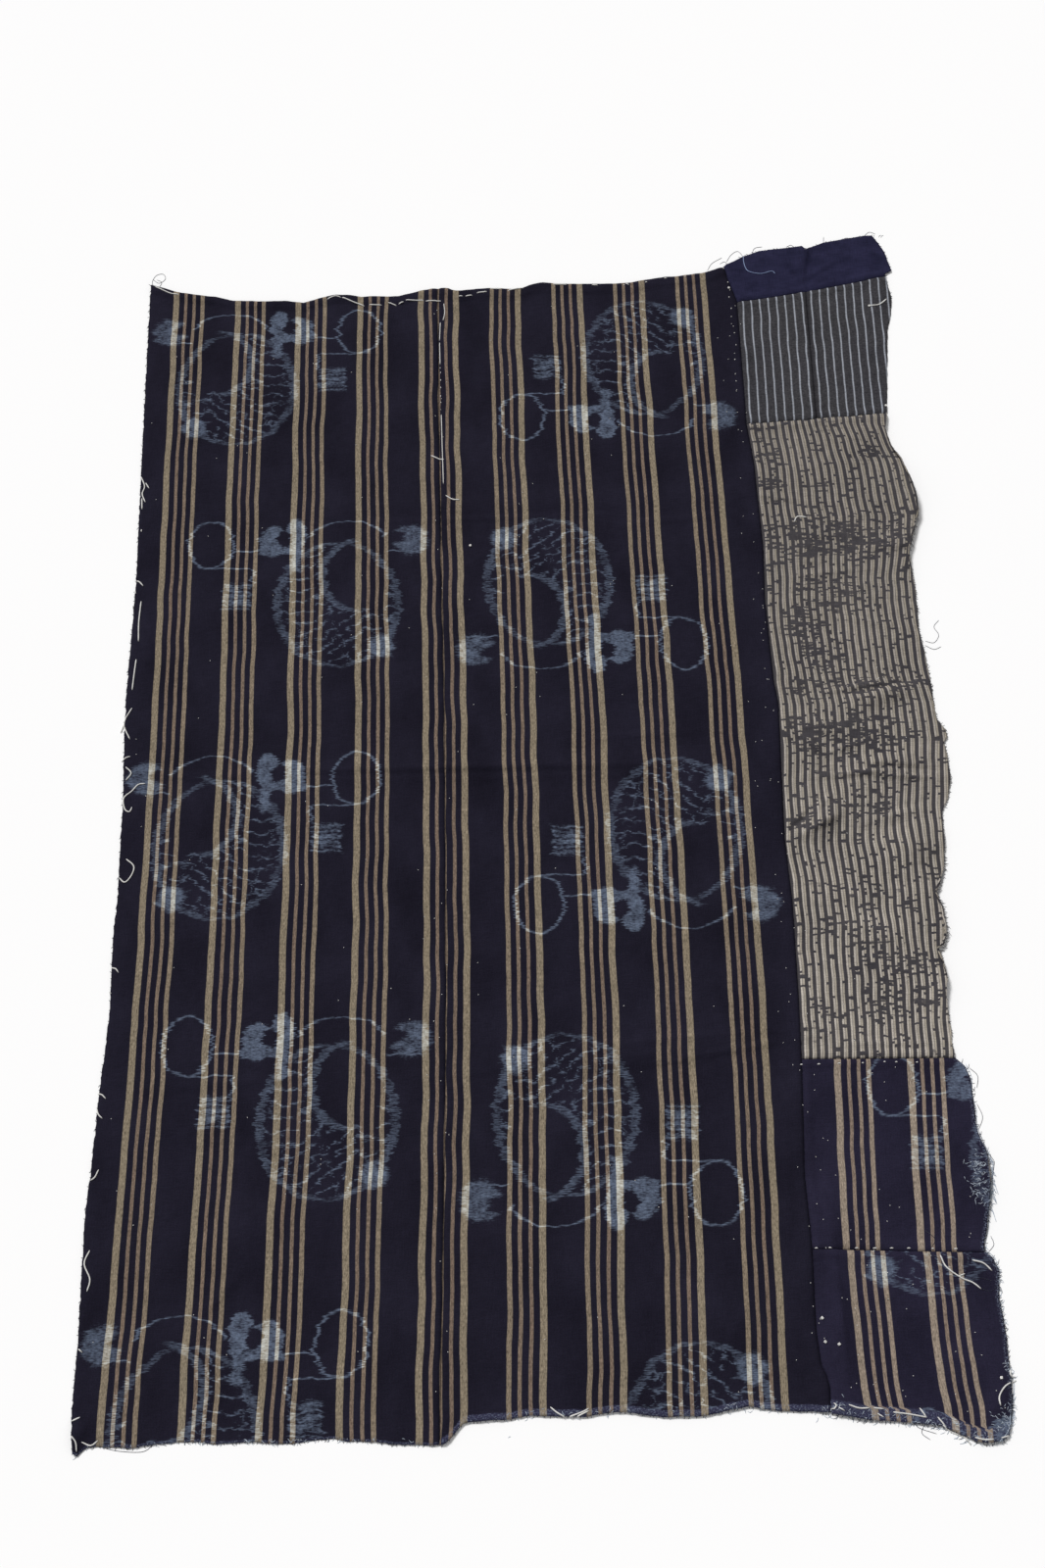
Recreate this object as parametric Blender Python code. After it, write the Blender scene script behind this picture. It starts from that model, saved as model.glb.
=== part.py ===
"""A boro cloth: two loom widths of striped kasuri cotton and a side strip of patches,
lying flat and face up on a table. Metres, +Z up. The head of the cloth is at +Y,
and the origin is on the table under the middle of the cloth."""

import math

import bmesh
import bpy

# ------------------------------------------------------------------ sizes
CLOTH = 0.0014          # thickness of one layer of the cotton
SEAM_GAP = 0.0003       # clear space between two pieces sewn edge to edge
SEAM_RISE = 0.0007      # how much the turned-under allowance thickens a seam
SEAM_REACH = 0.012      # width of that thicker band, from the seam inwards
HEM_RISE = 0.0011       # how much a turned hem thickens the cloth
HEM_REACH = 0.014       # width of a turned hem
HEM_ROW = 0.990         # share of the way up a panel where its hem begins
PATCH_HEM_ROW = 0.090   # share of the way up the foot patch where its hem ends
MIDDLE_X = -0.0007      # middle of the whole cloth, across it
MIDDLE_Y = 0.6734       # middle of the whole cloth, up from its foot
SETTLE_STEPS = 12       # rounds that find where two edge lines cross
ROW_PITCH = 0.0275      # rows of corners along the seams
ROW_CLEAR = 0.001       # a row nearer than this to an end is left out
LEVELS = [0.0] + [ROW_PITCH * row for row in range(2, 46)] + [1.3475]

def along(line, place):
    """The value of an edge line at this place, straight between its points."""
    for (a, va), (b, vb) in zip(line, line[1:]):
        if place <= b:
            share = max(0.0, (place - a) / (b - a))
            return va + (vb - va) * share
    return line[-1][1]


# ------------------------------------------------------------------ outlines
# Each line runs along the cloth: distance up from the foot, and its x.
LEFT_EDGE = [  # y, x
    (0.000, -0.424), (0.040, -0.427), (0.100, -0.426), (0.185, -0.428),
    (0.255, -0.425), (0.335, -0.423), (0.420, -0.419), (0.530, -0.418),
    (0.640, -0.420), (0.760, -0.424), (0.895, -0.422), (1.035, -0.425),
    (1.140, -0.427), (1.295, -0.429),
]
CENTRE_SEAM = [  # y, x
    (0.000, -0.100), (0.200, -0.096), (0.305, -0.094), (0.440, -0.092),
    (0.720, -0.092), (0.880, -0.0945), (1.030, -0.096), (1.285, -0.0975),
]
SIDE_SEAM = [  # y, x
    (0.000, 0.244), (0.075, 0.248), (0.170, 0.243), (0.240, 0.242),
    (0.355, 0.248), (0.455, 0.251), (0.550, 0.252), (0.655, 0.253),
    (0.735, 0.255), (0.805, 0.252), (0.855, 0.250), (0.930, 0.253),
    (1.055, 0.252), (1.085, 0.246), (1.255, 0.245), (1.345, 0.232),
]
GREY_SEAM = [  # y, x
    (1.050, 0.323), (1.300, 0.327),
]
FREE_EDGE = [  # y, x
    (0.000, 0.403), (0.030, 0.409), (0.090, 0.411), (0.150, 0.411),
    (0.170, 0.401), (0.190, 0.406), (0.235, 0.414), (0.260, 0.413),
    (0.305, 0.407), (0.340, 0.402), (0.355, 0.394), (0.410, 0.393),
    (0.445, 0.398), (0.480, 0.404), (0.520, 0.400), (0.575, 0.408),
    (0.640, 0.422), (0.690, 0.425), (0.715, 0.416), (0.785, 0.412),
    (0.860, 0.411), (0.915, 0.413), (0.940, 0.421), (0.965, 0.428),
    (1.010, 0.422), (1.050, 0.406), (1.095, 0.402), (1.210, 0.414),
    (1.260, 0.424), (1.286, 0.420), (1.295, 0.428), (1.320, 0.423),
    (1.346, 0.410),
]
# A sewn line is straight between the levels where both of its pieces have a row.
CENTRE_SEAM = [(level, along(CENTRE_SEAM, level)) for level in LEVELS]
SIDE_SEAM = [(level, along(SIDE_SEAM, level)) for level in LEVELS]
# Each line runs across the cloth: x, and its distance up from the foot.
HEAD_EDGE = [  # x, y
    (-0.429, 1.291), (-0.395, 1.279), (-0.332, 1.268), (-0.262, 1.262),
    (-0.224, 1.270), (-0.187, 1.268), (-0.128, 1.272), (-0.088, 1.279),
    (0.006, 1.285), (0.070, 1.283), (0.122, 1.281), (0.175, 1.289),
    (0.209, 1.294), (0.234, 1.303), (0.260, 1.306),
]
PATCH_HEAD = [  # x, y
    (0.232, 1.303), (0.258, 1.319), (0.277, 1.326), (0.324, 1.332),
    (0.330, 1.324), (0.353, 1.337), (0.401, 1.346), (0.412, 1.346),
    (0.428, 1.340),
]
INDIGO_FOOT = [(0.230, 1.249), (0.430, 1.287)]  # x, y
GREY_FOOT = [(0.240, 1.083), (0.410, 1.095)]  # x, y
WORN_FOOT = [(0.240, 0.352), (0.400, 0.350)]  # x, y
LOWER_SEAM = [(0.235, 0.171), (0.405, 0.164)]  # x, y
LEFT_FOOT = [  # x, y
    (-0.428, 0.008), (-0.394, 0.013), (-0.368, 0.010), (-0.327, 0.014),
    (-0.275, 0.015), (-0.225, 0.009), (-0.196, 0.013), (-0.140, 0.009),
    (-0.103, 0.008), (-0.092, 0.012),
]
RIGHT_FOOT = [  # x, y
    (-0.100, 0.018), (-0.074, 0.024), (-0.040, 0.027), (0.052, 0.031),
    (0.104, 0.026), (0.174, 0.034), (0.232, 0.030), (0.250, 0.026),
]
PATCH_FOOT = [  # x, y
    (0.236, 0.026), (0.303, 0.018), (0.342, 0.014), (0.372, 0.003),
    (0.397, 0.000), (0.412, 0.002),
]

# ------------------------------------------------------------------ folds
# Soft ridges in the sheet. half_length and half_width are where a ridge has
# died away, turn is the angle of its crest from +X.
RIDGES = [  # x, y, half_length, half_width, height, turn in degrees
    (0.060, 0.358, 0.230, 0.022, 0.0030, 6),     # storage fold, lower
    (0.120, 0.306, 0.060, 0.016, 0.0020, 18),    # short crease below it
    (-0.050, 0.665, 0.420, 0.022, 0.0026, 0),    # storage fold, middle
    (-0.020, 0.985, 0.340, 0.022, 0.0024, 1),    # storage fold, upper
    (-0.290, 0.180, 0.090, 0.040, 0.0030, 60),   # slack near the foot
    (0.160, 0.110, 0.080, 0.045, 0.0032, 75),    # slack beside the seam
    (-0.250, 0.520, 0.110, 0.050, 0.0024, 20),   # broad swell, left panel
    (0.100, 0.830, 0.120, 0.050, 0.0024, -15),   # broad swell, right panel
    (0.262, 0.120, 0.130, 0.020, 0.0048, 92),    # slack along the foot seam
    (0.428, 1.000, 0.120, 0.022, 0.0065, 78),    # curled free edge
    (0.365, 0.742, 0.060, 0.018, 0.0055, 14),    # bend in the worn patch
    (0.300, 0.705, 0.036, 0.014, 0.0045, -38),   # crossing bend
    (0.352, 0.662, 0.060, 0.014, 0.0050, 4),     # kinked row
    (0.395, 0.925, 0.045, 0.012, 0.0040, 2),     # kinked row near the edge
    (0.290, 0.600, 0.040, 0.020, 0.0060, 50),    # puckered corner
    (0.375, 0.570, 0.050, 0.030, 0.0060, 25),    # swell on the free side
    (0.330, 0.480, 0.060, 0.026, 0.0035, -10),   # low swell
    (0.392, 0.420, 0.040, 0.016, 0.0045, 80),    # lifted edge
    (0.328, 1.318, 0.034, 0.010, 0.0050, 84),    # pleat under the notch
    (0.405, 1.250, 0.050, 0.018, 0.0040, 80),    # lifted corner
    (0.408, 0.225, 0.060, 0.018, 0.0045, 85),    # lifted edge
    (0.398, 0.035, 0.050, 0.018, 0.0050, 70),    # lifted foot corner
    (-0.424, 0.020, 0.030, 0.014, 0.0045, 60),   # rolled foot corner
]

# ------------------------------------------------------------------ colours
KASURI = (0.047, 0.042, 0.050)
INDIGO = (0.021, 0.020, 0.045)
GREY = (0.080, 0.078, 0.084)
WORN = (0.127, 0.114, 0.109)

# ------------------------------------------------------------------ pieces
PIECES = [
    dict(name="panel_left", left=LEFT_EDGE, right=CENTRE_SEAM, foot=LEFT_FOOT,
         head=HEAD_EDGE, sewn="right", hems="head", columns=18, colour=KASURI),
    dict(name="panel_right", left=CENTRE_SEAM, right=SIDE_SEAM, foot=RIGHT_FOOT,
         head=HEAD_EDGE, sewn="left right", hems="head", columns=18, colour=KASURI),
    dict(name="patch_indigo", left=SIDE_SEAM, right=FREE_EDGE, foot=INDIGO_FOOT,
         head=PATCH_HEAD, sewn="left foot", hems="", columns=16, rows=6, colour=INDIGO),
    dict(name="patch_grey_left", left=SIDE_SEAM, right=GREY_SEAM, foot=GREY_FOOT,
         head=INDIGO_FOOT, sewn="left right foot head", hems="", columns=5, colour=GREY),
    dict(name="patch_grey_right", left=GREY_SEAM, right=FREE_EDGE, foot=GREY_FOOT,
         head=INDIGO_FOOT, sewn="left foot head", hems="", columns=5, rows=10, colour=GREY),
    dict(name="patch_worn", left=SIDE_SEAM, right=FREE_EDGE, foot=WORN_FOOT,
         head=GREY_FOOT, sewn="left foot head", hems="", columns=12, colour=WORN),
    dict(name="patch_lower_upper", left=SIDE_SEAM, right=FREE_EDGE, foot=LOWER_SEAM,
         head=WORN_FOOT, sewn="left foot head", hems="", columns=11, colour=KASURI),
    dict(name="patch_lower_foot", left=SIDE_SEAM, right=FREE_EDGE, foot=PATCH_FOOT,
         head=LOWER_SEAM, sewn="left head", hems="foot", columns=11, colour=KASURI),
]


def soft(t):
    """One at the middle of a ridge, falling smoothly to nought at its border."""
    return 0.5 + 0.5 * math.cos(math.pi * min(1.0, abs(t)))


def lift(x, y):
    """Height of the sheet's underside over the table."""
    highest = 0.0
    for cx, cy, half_length, half_width, height, turn in RIDGES:
        c = math.cos(math.radians(turn))
        s = math.sin(math.radians(turn))
        down = (x - cx) * c + (y - cy) * s
        over = (y - cy) * c - (x - cx) * s
        highest = max(highest, height * soft(down / half_length) * soft(over / half_width))
    return highest


def crossing(across_line, side_line):
    """How far up the cloth an edge that runs across it meets one that runs along it."""
    y = along(across_line, 0.0)
    for _ in range(SETTLE_STEPS):
        y = along(across_line, along(side_line, y))
    return y


def even(count):
    return [step / (count - 1) for step in range(count)]


def side_rows(piece, side):
    """Shares of the way up one side for its rows of corners, or None along a free edge."""
    if piece[side] not in (CENTRE_SEAM, SIDE_SEAM):
        return None
    foot = crossing(piece["foot"], piece[side])
    head = crossing(piece["head"], piece[side])
    inner = [level for level in LEVELS if foot + ROW_CLEAR < level < head - ROW_CLEAR]
    return [0.0] + [(level - foot) / (head - foot) for level in inner] + [1.0]


def ladder(piece):
    """Matching rows of corners for the two sides of a piece."""
    if "rows" in piece:
        return even(piece["rows"]), even(piece["rows"])
    left = side_rows(piece, "left")
    right = side_rows(piece, "right")
    count = len(left or right)
    left = left or even(count)
    right = right or even(count)
    if "head" in piece["hems"]:
        left.insert(-1, HEM_ROW)
        right.insert(-1, HEM_ROW)
    if "foot" in piece["hems"]:
        left.insert(1, PATCH_HEM_ROW)
        right.insert(1, PATCH_HEM_ROW)
    return left, right


def inside(piece, across, share):
    """The point at these shares of the way across and up a piece."""
    half_gap = SEAM_GAP / 2
    y = along(piece["foot"], 0.0)
    for _ in range(SETTLE_STEPS):
        left = along(piece["left"], y) + half_gap
        right = along(piece["right"], y) - half_gap
        x = left + (right - left) * across
        foot = along(piece["foot"], x) + half_gap
        head = along(piece["head"], x) - half_gap
        y = foot + (head - foot) * share
    return x, y


def layers(piece, x, y):
    """Thickness of the sheet here, with its seam allowances and hems."""
    reach = {
        "left": x - along(piece["left"], y),
        "right": along(piece["right"], y) - x,
        "foot": y - along(piece["foot"], x),
        "head": along(piece["head"], x) - y,
    }
    extra = 0.0
    for side, distance in reach.items():
        if side in piece["sewn"].split():
            extra = max(extra, SEAM_RISE * soft(distance / SEAM_REACH))
        if side in piece["hems"].split() and distance < HEM_REACH:
            extra = max(extra, HEM_RISE)
    return CLOTH + extra


def lay_out(piece):
    """A flat grid of quads fitted to the four edges of a piece."""
    left, right = ladder(piece)
    last = len(left) - 1
    sheet = bmesh.new()
    bmesh.ops.create_grid(sheet, x_segments=piece["columns"], y_segments=last, size=0.5)
    for corner in sheet.verts:
        across = corner.co.x + 0.5
        row = round((corner.co.y + 0.5) * last)
        share = left[row] + (right[row] - left[row]) * across
        x, y = inside(piece, across, share)
        corner.co = (x, y, 0.0)
    return sheet


def thicken(sheet, piece):
    """Lifts the grid into its folds and gives it an upper side and a rim."""
    for corner in sheet.verts:
        corner.co.z = lift(corner.co.x, corner.co.y)
    raised = bmesh.ops.extrude_face_region(sheet, geom=sheet.faces[:])["geom"]
    for corner in raised:
        if isinstance(corner, bmesh.types.BMVert):
            corner.co.z += layers(piece, corner.co.x, corner.co.y)
    bmesh.ops.translate(sheet, verts=sheet.verts[:], vec=(-MIDDLE_X, -MIDDLE_Y, 0.0))
    bmesh.ops.recalc_face_normals(sheet, faces=sheet.faces[:])


def finish(name, colour):
    cotton = bpy.data.materials.new(name)
    cotton.use_nodes = True
    shader = cotton.node_tree.nodes["Principled BSDF"]
    shader.inputs["Base Color"].default_value = (*colour, 1.0)
    shader.inputs["Roughness"].default_value = 0.9
    return cotton


def sew(piece, collection):
    """One piece of cloth as a closed sheet, with its own finish."""
    sheet = lay_out(piece)
    thicken(sheet, piece)
    mesh = bpy.data.meshes.new(piece["name"])
    sheet.to_mesh(mesh)
    sheet.free()
    mesh.materials.append(finish(piece["name"], piece["colour"]))
    cloth = bpy.data.objects.new(piece["name"], mesh)
    collection.objects.link(cloth)


for old in list(bpy.data.objects):
    bpy.data.objects.remove(old, do_unlink=True)

boro = bpy.data.collections.new("boro_patched_cloth")
bpy.context.scene.collection.children.link(boro)
for piece in PIECES:
    sew(piece, boro)
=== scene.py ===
# %% [markdown]
# # A boro patched cloth
# Boro is cloth mended and pieced together until little of the first garment is left.
# This one is two full loom widths of striped kasuri cotton, sewn side by side, and a
# strip of older patches down its right edge. Here each piece of cloth becomes a thin
# sheet laid over the low folds of its CAD solid, and its woven pattern is worked out by
# material nodes from a map that runs along the threads.

import math
import random

import bpy
import numpy as np
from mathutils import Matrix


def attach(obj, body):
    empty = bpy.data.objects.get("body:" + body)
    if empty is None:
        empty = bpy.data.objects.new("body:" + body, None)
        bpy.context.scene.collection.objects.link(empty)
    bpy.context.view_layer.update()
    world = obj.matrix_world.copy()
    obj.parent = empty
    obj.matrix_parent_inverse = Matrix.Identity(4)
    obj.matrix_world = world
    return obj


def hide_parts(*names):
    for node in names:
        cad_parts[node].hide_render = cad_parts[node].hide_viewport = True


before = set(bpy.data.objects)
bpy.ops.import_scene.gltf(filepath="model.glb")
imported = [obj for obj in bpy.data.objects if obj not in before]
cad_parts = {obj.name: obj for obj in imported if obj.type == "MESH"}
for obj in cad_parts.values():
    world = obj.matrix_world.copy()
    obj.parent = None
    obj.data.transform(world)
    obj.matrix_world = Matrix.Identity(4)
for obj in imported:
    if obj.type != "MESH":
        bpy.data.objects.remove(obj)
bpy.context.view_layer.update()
MM = 0.001
print("nodes:", sorted(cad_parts))

# %% [markdown]
# ## Where the edges run
# A maker cuts a piece by its outline. Each outline here is a short table of points
# measured from the foot of the cloth, in metres, and numpy draws straight between
# them. The same seam line is used by both pieces that meet on it, so they can't drift
# apart. A small wobble, added later, roughens the edges that were torn or left raw.

# %% Outline tables
MIDDLE = (-0.0007, 0.6734)  # the row frame's origin, in the same measure as the tables

LEFT_EDGE = [  # up, x
    (0.000, -0.4235), (0.016, -0.4245), (0.040, -0.4270), (0.070, -0.4268), (0.100, -0.4258),
    (0.147, -0.4270), (0.185, -0.4272), (0.220, -0.4280), (0.252, -0.4255), (0.295, -0.4240),
    (0.334, -0.4228), (0.372, -0.4200), (0.417, -0.4182), (0.456, -0.4192), (0.498, -0.4200),
    (0.528, -0.4182), (0.594, -0.4192), (0.642, -0.4198), (0.707, -0.4228), (0.759, -0.4240),
    (0.821, -0.4230), (0.895, -0.4220), (0.948, -0.4232), (1.034, -0.4250), (1.140, -0.4270),
    (1.271, -0.4290), (1.300, -0.4285),
]
CENTRE_SEAM = [  # up, x
    (0.000, -0.1000), (0.040, -0.0995), (0.190, -0.0960), (0.300, -0.0938), (0.440, -0.0922),
    (0.720, -0.0922), (0.880, -0.0945), (1.030, -0.0962), (1.250, -0.0975), (1.300, -0.0975),
]
SIDE_SEAM = [  # up, x
    (0.000, 0.2470), (0.038, 0.2480), (0.047, 0.2485), (0.058, 0.2465), (0.068, 0.2425),
    (0.095, 0.2405), (0.120, 0.2410), (0.171, 0.2430), (0.240, 0.2415), (0.353, 0.2480),
    (0.408, 0.2500), (0.454, 0.2510), (0.514, 0.2520), (0.577, 0.2495), (0.657, 0.2520),
    (0.732, 0.2550), (0.761, 0.2520), (0.855, 0.2500), (0.926, 0.2530), (0.997, 0.2512),
    (1.030, 0.2508), (1.060, 0.2482), (1.083, 0.2460), (1.254, 0.2465), (1.302, 0.2335),
    (1.340, 0.2300),
]
GREY_SEAM = [(1.050, 0.3235), (1.150, 0.3250), (1.300, 0.3268)]  # up, x
FREE_EDGE = [  # up, x
    (0.000, 0.4010), (0.012, 0.4050), (0.031, 0.4090), (0.054, 0.4100), (0.089, 0.4110),
    (0.129, 0.4090), (0.148, 0.4120), (0.158, 0.4080), (0.167, 0.4000), (0.191, 0.4060),
    (0.212, 0.4100), (0.233, 0.4140), (0.256, 0.4140), (0.280, 0.4070), (0.328, 0.4070),
    (0.341, 0.4030), (0.350, 0.3940), (0.382, 0.3930), (0.410, 0.3920), (0.431, 0.3970),
    (0.447, 0.3980), (0.460, 0.3945), (0.464, 0.4005), (0.479, 0.4050), (0.501, 0.4040),
    (0.520, 0.3990), (0.531, 0.4050), (0.574, 0.4090), (0.605, 0.4100), (0.623, 0.4180),
    (0.643, 0.4230), (0.666, 0.4230), (0.684, 0.4210), (0.692, 0.4260), (0.702, 0.4230),
    (0.713, 0.4160), (0.757, 0.4150), (0.784, 0.4130), (0.820, 0.4090), (0.858, 0.4110),
    (0.894, 0.4120), (0.916, 0.4130), (0.940, 0.4210), (0.963, 0.4280), (0.984, 0.4270),
    (1.010, 0.4220), (1.032, 0.4170), (1.051, 0.4060), (1.073, 0.4015), (1.095, 0.4030),
    (1.209, 0.4150), (1.235, 0.4220), (1.257, 0.4240), (1.280, 0.4205), (1.289, 0.4205),
    (1.294, 0.4280), (1.321, 0.4230), (1.338, 0.4150), (1.350, 0.4080),
]
HEAD_EDGE = [  # x, up
    (-0.4290, 1.2910), (-0.4150, 1.2860), (-0.3950, 1.2790), (-0.3680, 1.2740), (-0.3520, 1.2720),
    (-0.3340, 1.2662), (-0.3030, 1.2642), (-0.2710, 1.2640), (-0.2520, 1.2610), (-0.2430, 1.2638),
    (-0.2300, 1.2690), (-0.2160, 1.2722), (-0.1960, 1.2710), (-0.1870, 1.2680), (-0.1750, 1.2690),
    (-0.1440, 1.2682), (-0.1300, 1.2720), (-0.1170, 1.2760), (-0.1030, 1.2780), (-0.0850, 1.2790),
    (-0.0800, 1.2752), (-0.0710, 1.2752), (-0.0530, 1.2770), (-0.0350, 1.2780), (-0.0130, 1.2762),
    (0.0010, 1.2780), (0.0100, 1.2820), (0.0220, 1.2850), (0.0330, 1.2835), (0.0560, 1.2820),
    (0.1050, 1.2812), (0.1240, 1.2822), (0.1370, 1.2850), (0.1560, 1.2880), (0.1650, 1.2900),
    (0.1780, 1.2902), (0.1970, 1.2930), (0.2090, 1.2945), (0.2330, 1.3020), (0.2600, 1.3050),
]
PATCH_HEAD = [  # x, up
    (0.2320, 1.3030), (0.2580, 1.3190), (0.2770, 1.3260), (0.3220, 1.3315), (0.3275, 1.3300),
    (0.3300, 1.3240), (0.3350, 1.3290), (0.3530, 1.3370), (0.4010, 1.3460), (0.4120, 1.3465),
    (0.4300, 1.3440),
]
INDIGO_FOOT = [(0.230, 1.2500), (0.250, 1.2530), (0.326, 1.2655), (0.430, 1.2880)]  # x, up
GREY_FOOT = [(0.240, 1.0830), (0.322, 1.0890), (0.410, 1.0950)]  # x, up
WORN_FOOT = [(0.240, 0.3520), (0.400, 0.3500)]  # x, up
LOWER_SEAM = [(0.235, 0.1712), (0.405, 0.1645)]  # x, up
LEFT_FOOT = [  # x, up
    (-0.4280, 0.0075), (-0.4250, 0.0070), (-0.4190, 0.0040), (-0.4140, 0.0110), (-0.4020, 0.0120),
    (-0.3840, 0.0108), (-0.3710, 0.0100), (-0.3530, 0.0128), (-0.3330, 0.0140), (-0.3160, 0.0140),
    (-0.2980, 0.0120), (-0.2640, 0.0130), (-0.2430, 0.0108), (-0.2290, 0.0110), (-0.2150, 0.0130),
    (-0.1940, 0.0140), (-0.1840, 0.0120), (-0.1600, 0.0110), (-0.1390, 0.0080), (-0.1100, 0.0070),
    (-0.0970, 0.0070),
]
RIGHT_FOOT = [  # x, up
    (-0.1010, 0.0060), (-0.0970, 0.0070), (-0.0900, 0.0120), (-0.0850, 0.0190), (-0.0780, 0.0250),
    (-0.0560, 0.0268), (-0.0380, 0.0270), (-0.0210, 0.0300), (-0.0030, 0.0290), (0.0310, 0.0280),
    (0.0490, 0.0310), (0.0660, 0.0310), (0.0840, 0.0280), (0.1010, 0.0260), (0.1320, 0.0260),
    (0.1530, 0.0300), (0.1750, 0.0335), (0.1880, 0.0310), (0.2060, 0.0290), (0.2500, 0.0270),
]
PATCH_FOOT = [  # x, up
    (0.2360, 0.0270), (0.2590, 0.0240), (0.2790, 0.0200), (0.3030, 0.0180), (0.3230, 0.0160),
    (0.3420, 0.0140), (0.3580, 0.0070), (0.3720, 0.0000), (0.3840, -0.0020), (0.3970, 0.0000),
    (0.4050, 0.0060), (0.4150, 0.0120),
]


def along(table, place):
    """The value of an edge line at these places, straight between its points."""
    points = np.array(table)
    return np.interp(place, points[:, 0], points[:, 1])


print("loom widths:", along(CENTRE_SEAM, 0.6) - along(LEFT_EDGE, 0.6),
      along(SIDE_SEAM, 0.6) - along(CENTRE_SEAM, 0.6))

# %% [markdown]
# ## The folds
# A cloth laid out on a table is never quite flat. It keeps the lines it was stored
# along, it puckers where it was sewn and it curls where it is worn. The broad ridges
# stand where the CAD solids have them. The creases are narrower and are this sheet's
# own. Both are soft cosine humps, so that no crest is sharp enough to look like card.

# %% Ridges, creases and ripples
RIDGES = [  # x, up, half_length, half_width, height, turn
    (0.060, 0.358, 0.230, 0.022, 0.0030, 6),
    (0.120, 0.306, 0.060, 0.016, 0.0020, 18),
    (-0.050, 0.665, 0.420, 0.022, 0.0026, 0),
    (-0.020, 0.985, 0.340, 0.022, 0.0024, 1),
    (-0.290, 0.180, 0.090, 0.040, 0.0030, 60),
    (0.160, 0.110, 0.080, 0.045, 0.0032, 75),
    (-0.250, 0.520, 0.110, 0.050, 0.0024, 20),
    (0.100, 0.830, 0.120, 0.050, 0.0024, -15),
    (0.262, 0.120, 0.130, 0.020, 0.0048, 92),
    (0.428, 1.000, 0.120, 0.022, 0.0065, 78),
    (0.365, 0.742, 0.060, 0.018, 0.0055, 14),
    (0.300, 0.705, 0.036, 0.014, 0.0045, -38),
    (0.352, 0.662, 0.060, 0.014, 0.0050, 4),
    (0.395, 0.925, 0.045, 0.012, 0.0040, 2),
    (0.290, 0.600, 0.040, 0.020, 0.0060, 50),
    (0.375, 0.570, 0.050, 0.030, 0.0060, 25),
    (0.330, 0.480, 0.060, 0.026, 0.0035, -10),
    (0.392, 0.420, 0.040, 0.016, 0.0045, 80),
    (0.328, 1.318, 0.034, 0.010, 0.0050, 84),
    (0.405, 1.250, 0.050, 0.018, 0.0040, 80),
    (0.408, 0.225, 0.060, 0.018, 0.0045, 85),
    (0.398, 0.035, 0.050, 0.018, 0.0050, 70),
    (-0.424, 0.020, 0.030, 0.014, 0.0045, 60),
]
CREASES = [  # x, up, half_length, half_width, height, turn
    (0.180, 0.362, 0.120, 0.0050, 0.0016, 9),
    (0.060, 0.300, 0.060, 0.0060, 0.0016, 20),
    (-0.080, 0.667, 0.330, 0.0050, 0.0016, 0),
    (-0.060, 0.661, 0.300, 0.0050, -0.0010, 0),
    (-0.050, 0.966, 0.240, 0.0050, 0.0013, 1),
    (0.090, 0.372, 0.200, 0.0050, 0.0013, 4),
    (0.020, 0.352, 0.140, 0.0060, -0.0010, 9),
    (0.100, 0.700, 0.110, 0.0070, 0.0011, 4),
    (-0.300, 0.340, 0.120, 0.0070, 0.0011, 3),
    (-0.330, 0.662, 0.090, 0.0060, 0.0012, -2),
    (0.110, 0.520, 0.060, 0.0080, 0.0012, 35),
    (-0.180, 0.820, 0.060, 0.0080, 0.0010, -28),
    (0.150, 0.960, 0.080, 0.0060, 0.0010, 5),
    (0.170, 0.105, 0.050, 0.0070, 0.0014, 62),
    (-0.300, 0.140, 0.060, 0.0080, 0.0012, 48),
    (0.224, 0.230, 0.090, 0.0060, 0.0012, 86),
    (0.385, 0.925, 0.040, 0.0040, -0.0018, 0),
    (0.340, 0.752, 0.056, 0.0050, 0.0034, 10),
    (0.380, 0.757, 0.036, 0.0040, -0.0016, 4),
    (0.287, 0.684, 0.026, 0.0045, 0.0034, -50),
    (0.318, 0.681, 0.026, 0.0045, 0.0030, 17),
    (0.370, 0.648, 0.055, 0.0050, 0.0034, -5),
    (0.370, 0.657, 0.055, 0.0045, -0.0026, -4),
    (0.288, 0.617, 0.030, 0.0055, 0.0036, 44),
    (0.284, 0.594, 0.036, 0.0065, 0.0034, 28),
    (0.350, 0.603, 0.060, 0.0120, 0.0022, 12),
    (0.330, 0.365, 0.080, 0.0045, 0.0014, 0),
    (0.280, 0.985, 0.060, 0.0060, 0.0012, -8),
    (0.320, 0.890, 0.070, 0.0060, 0.0014, 6),
    (0.352, 0.830, 0.050, 0.0060, 0.0014, -12),
    (0.335, 0.930, 0.070, 0.0050, -0.0014, -3),
    (0.370, 0.752, 0.056, 0.0050, -0.0028, 16),
    (0.290, 0.720, 0.034, 0.0050, -0.0028, -42),
    (0.335, 0.652, 0.076, 0.0050, 0.0032, 3),
    (0.272, 0.604, 0.034, 0.0055, -0.0030, 40),
    (0.360, 0.610, 0.050, 0.0060, -0.0014, 16),
    (0.330, 1.290, 0.034, 0.0040, -0.0022, 86),
    (0.350, 1.300, 0.050, 0.0060, 0.0014, 30),
    (0.263, 0.110, 0.100, 0.0050, 0.0016, 91),
]


def soft(t):
    """One at the middle, falling smoothly to nought at a distance of one."""
    return 0.5 + 0.5 * np.cos(np.pi * np.minimum(1.0, np.abs(t)))


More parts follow.
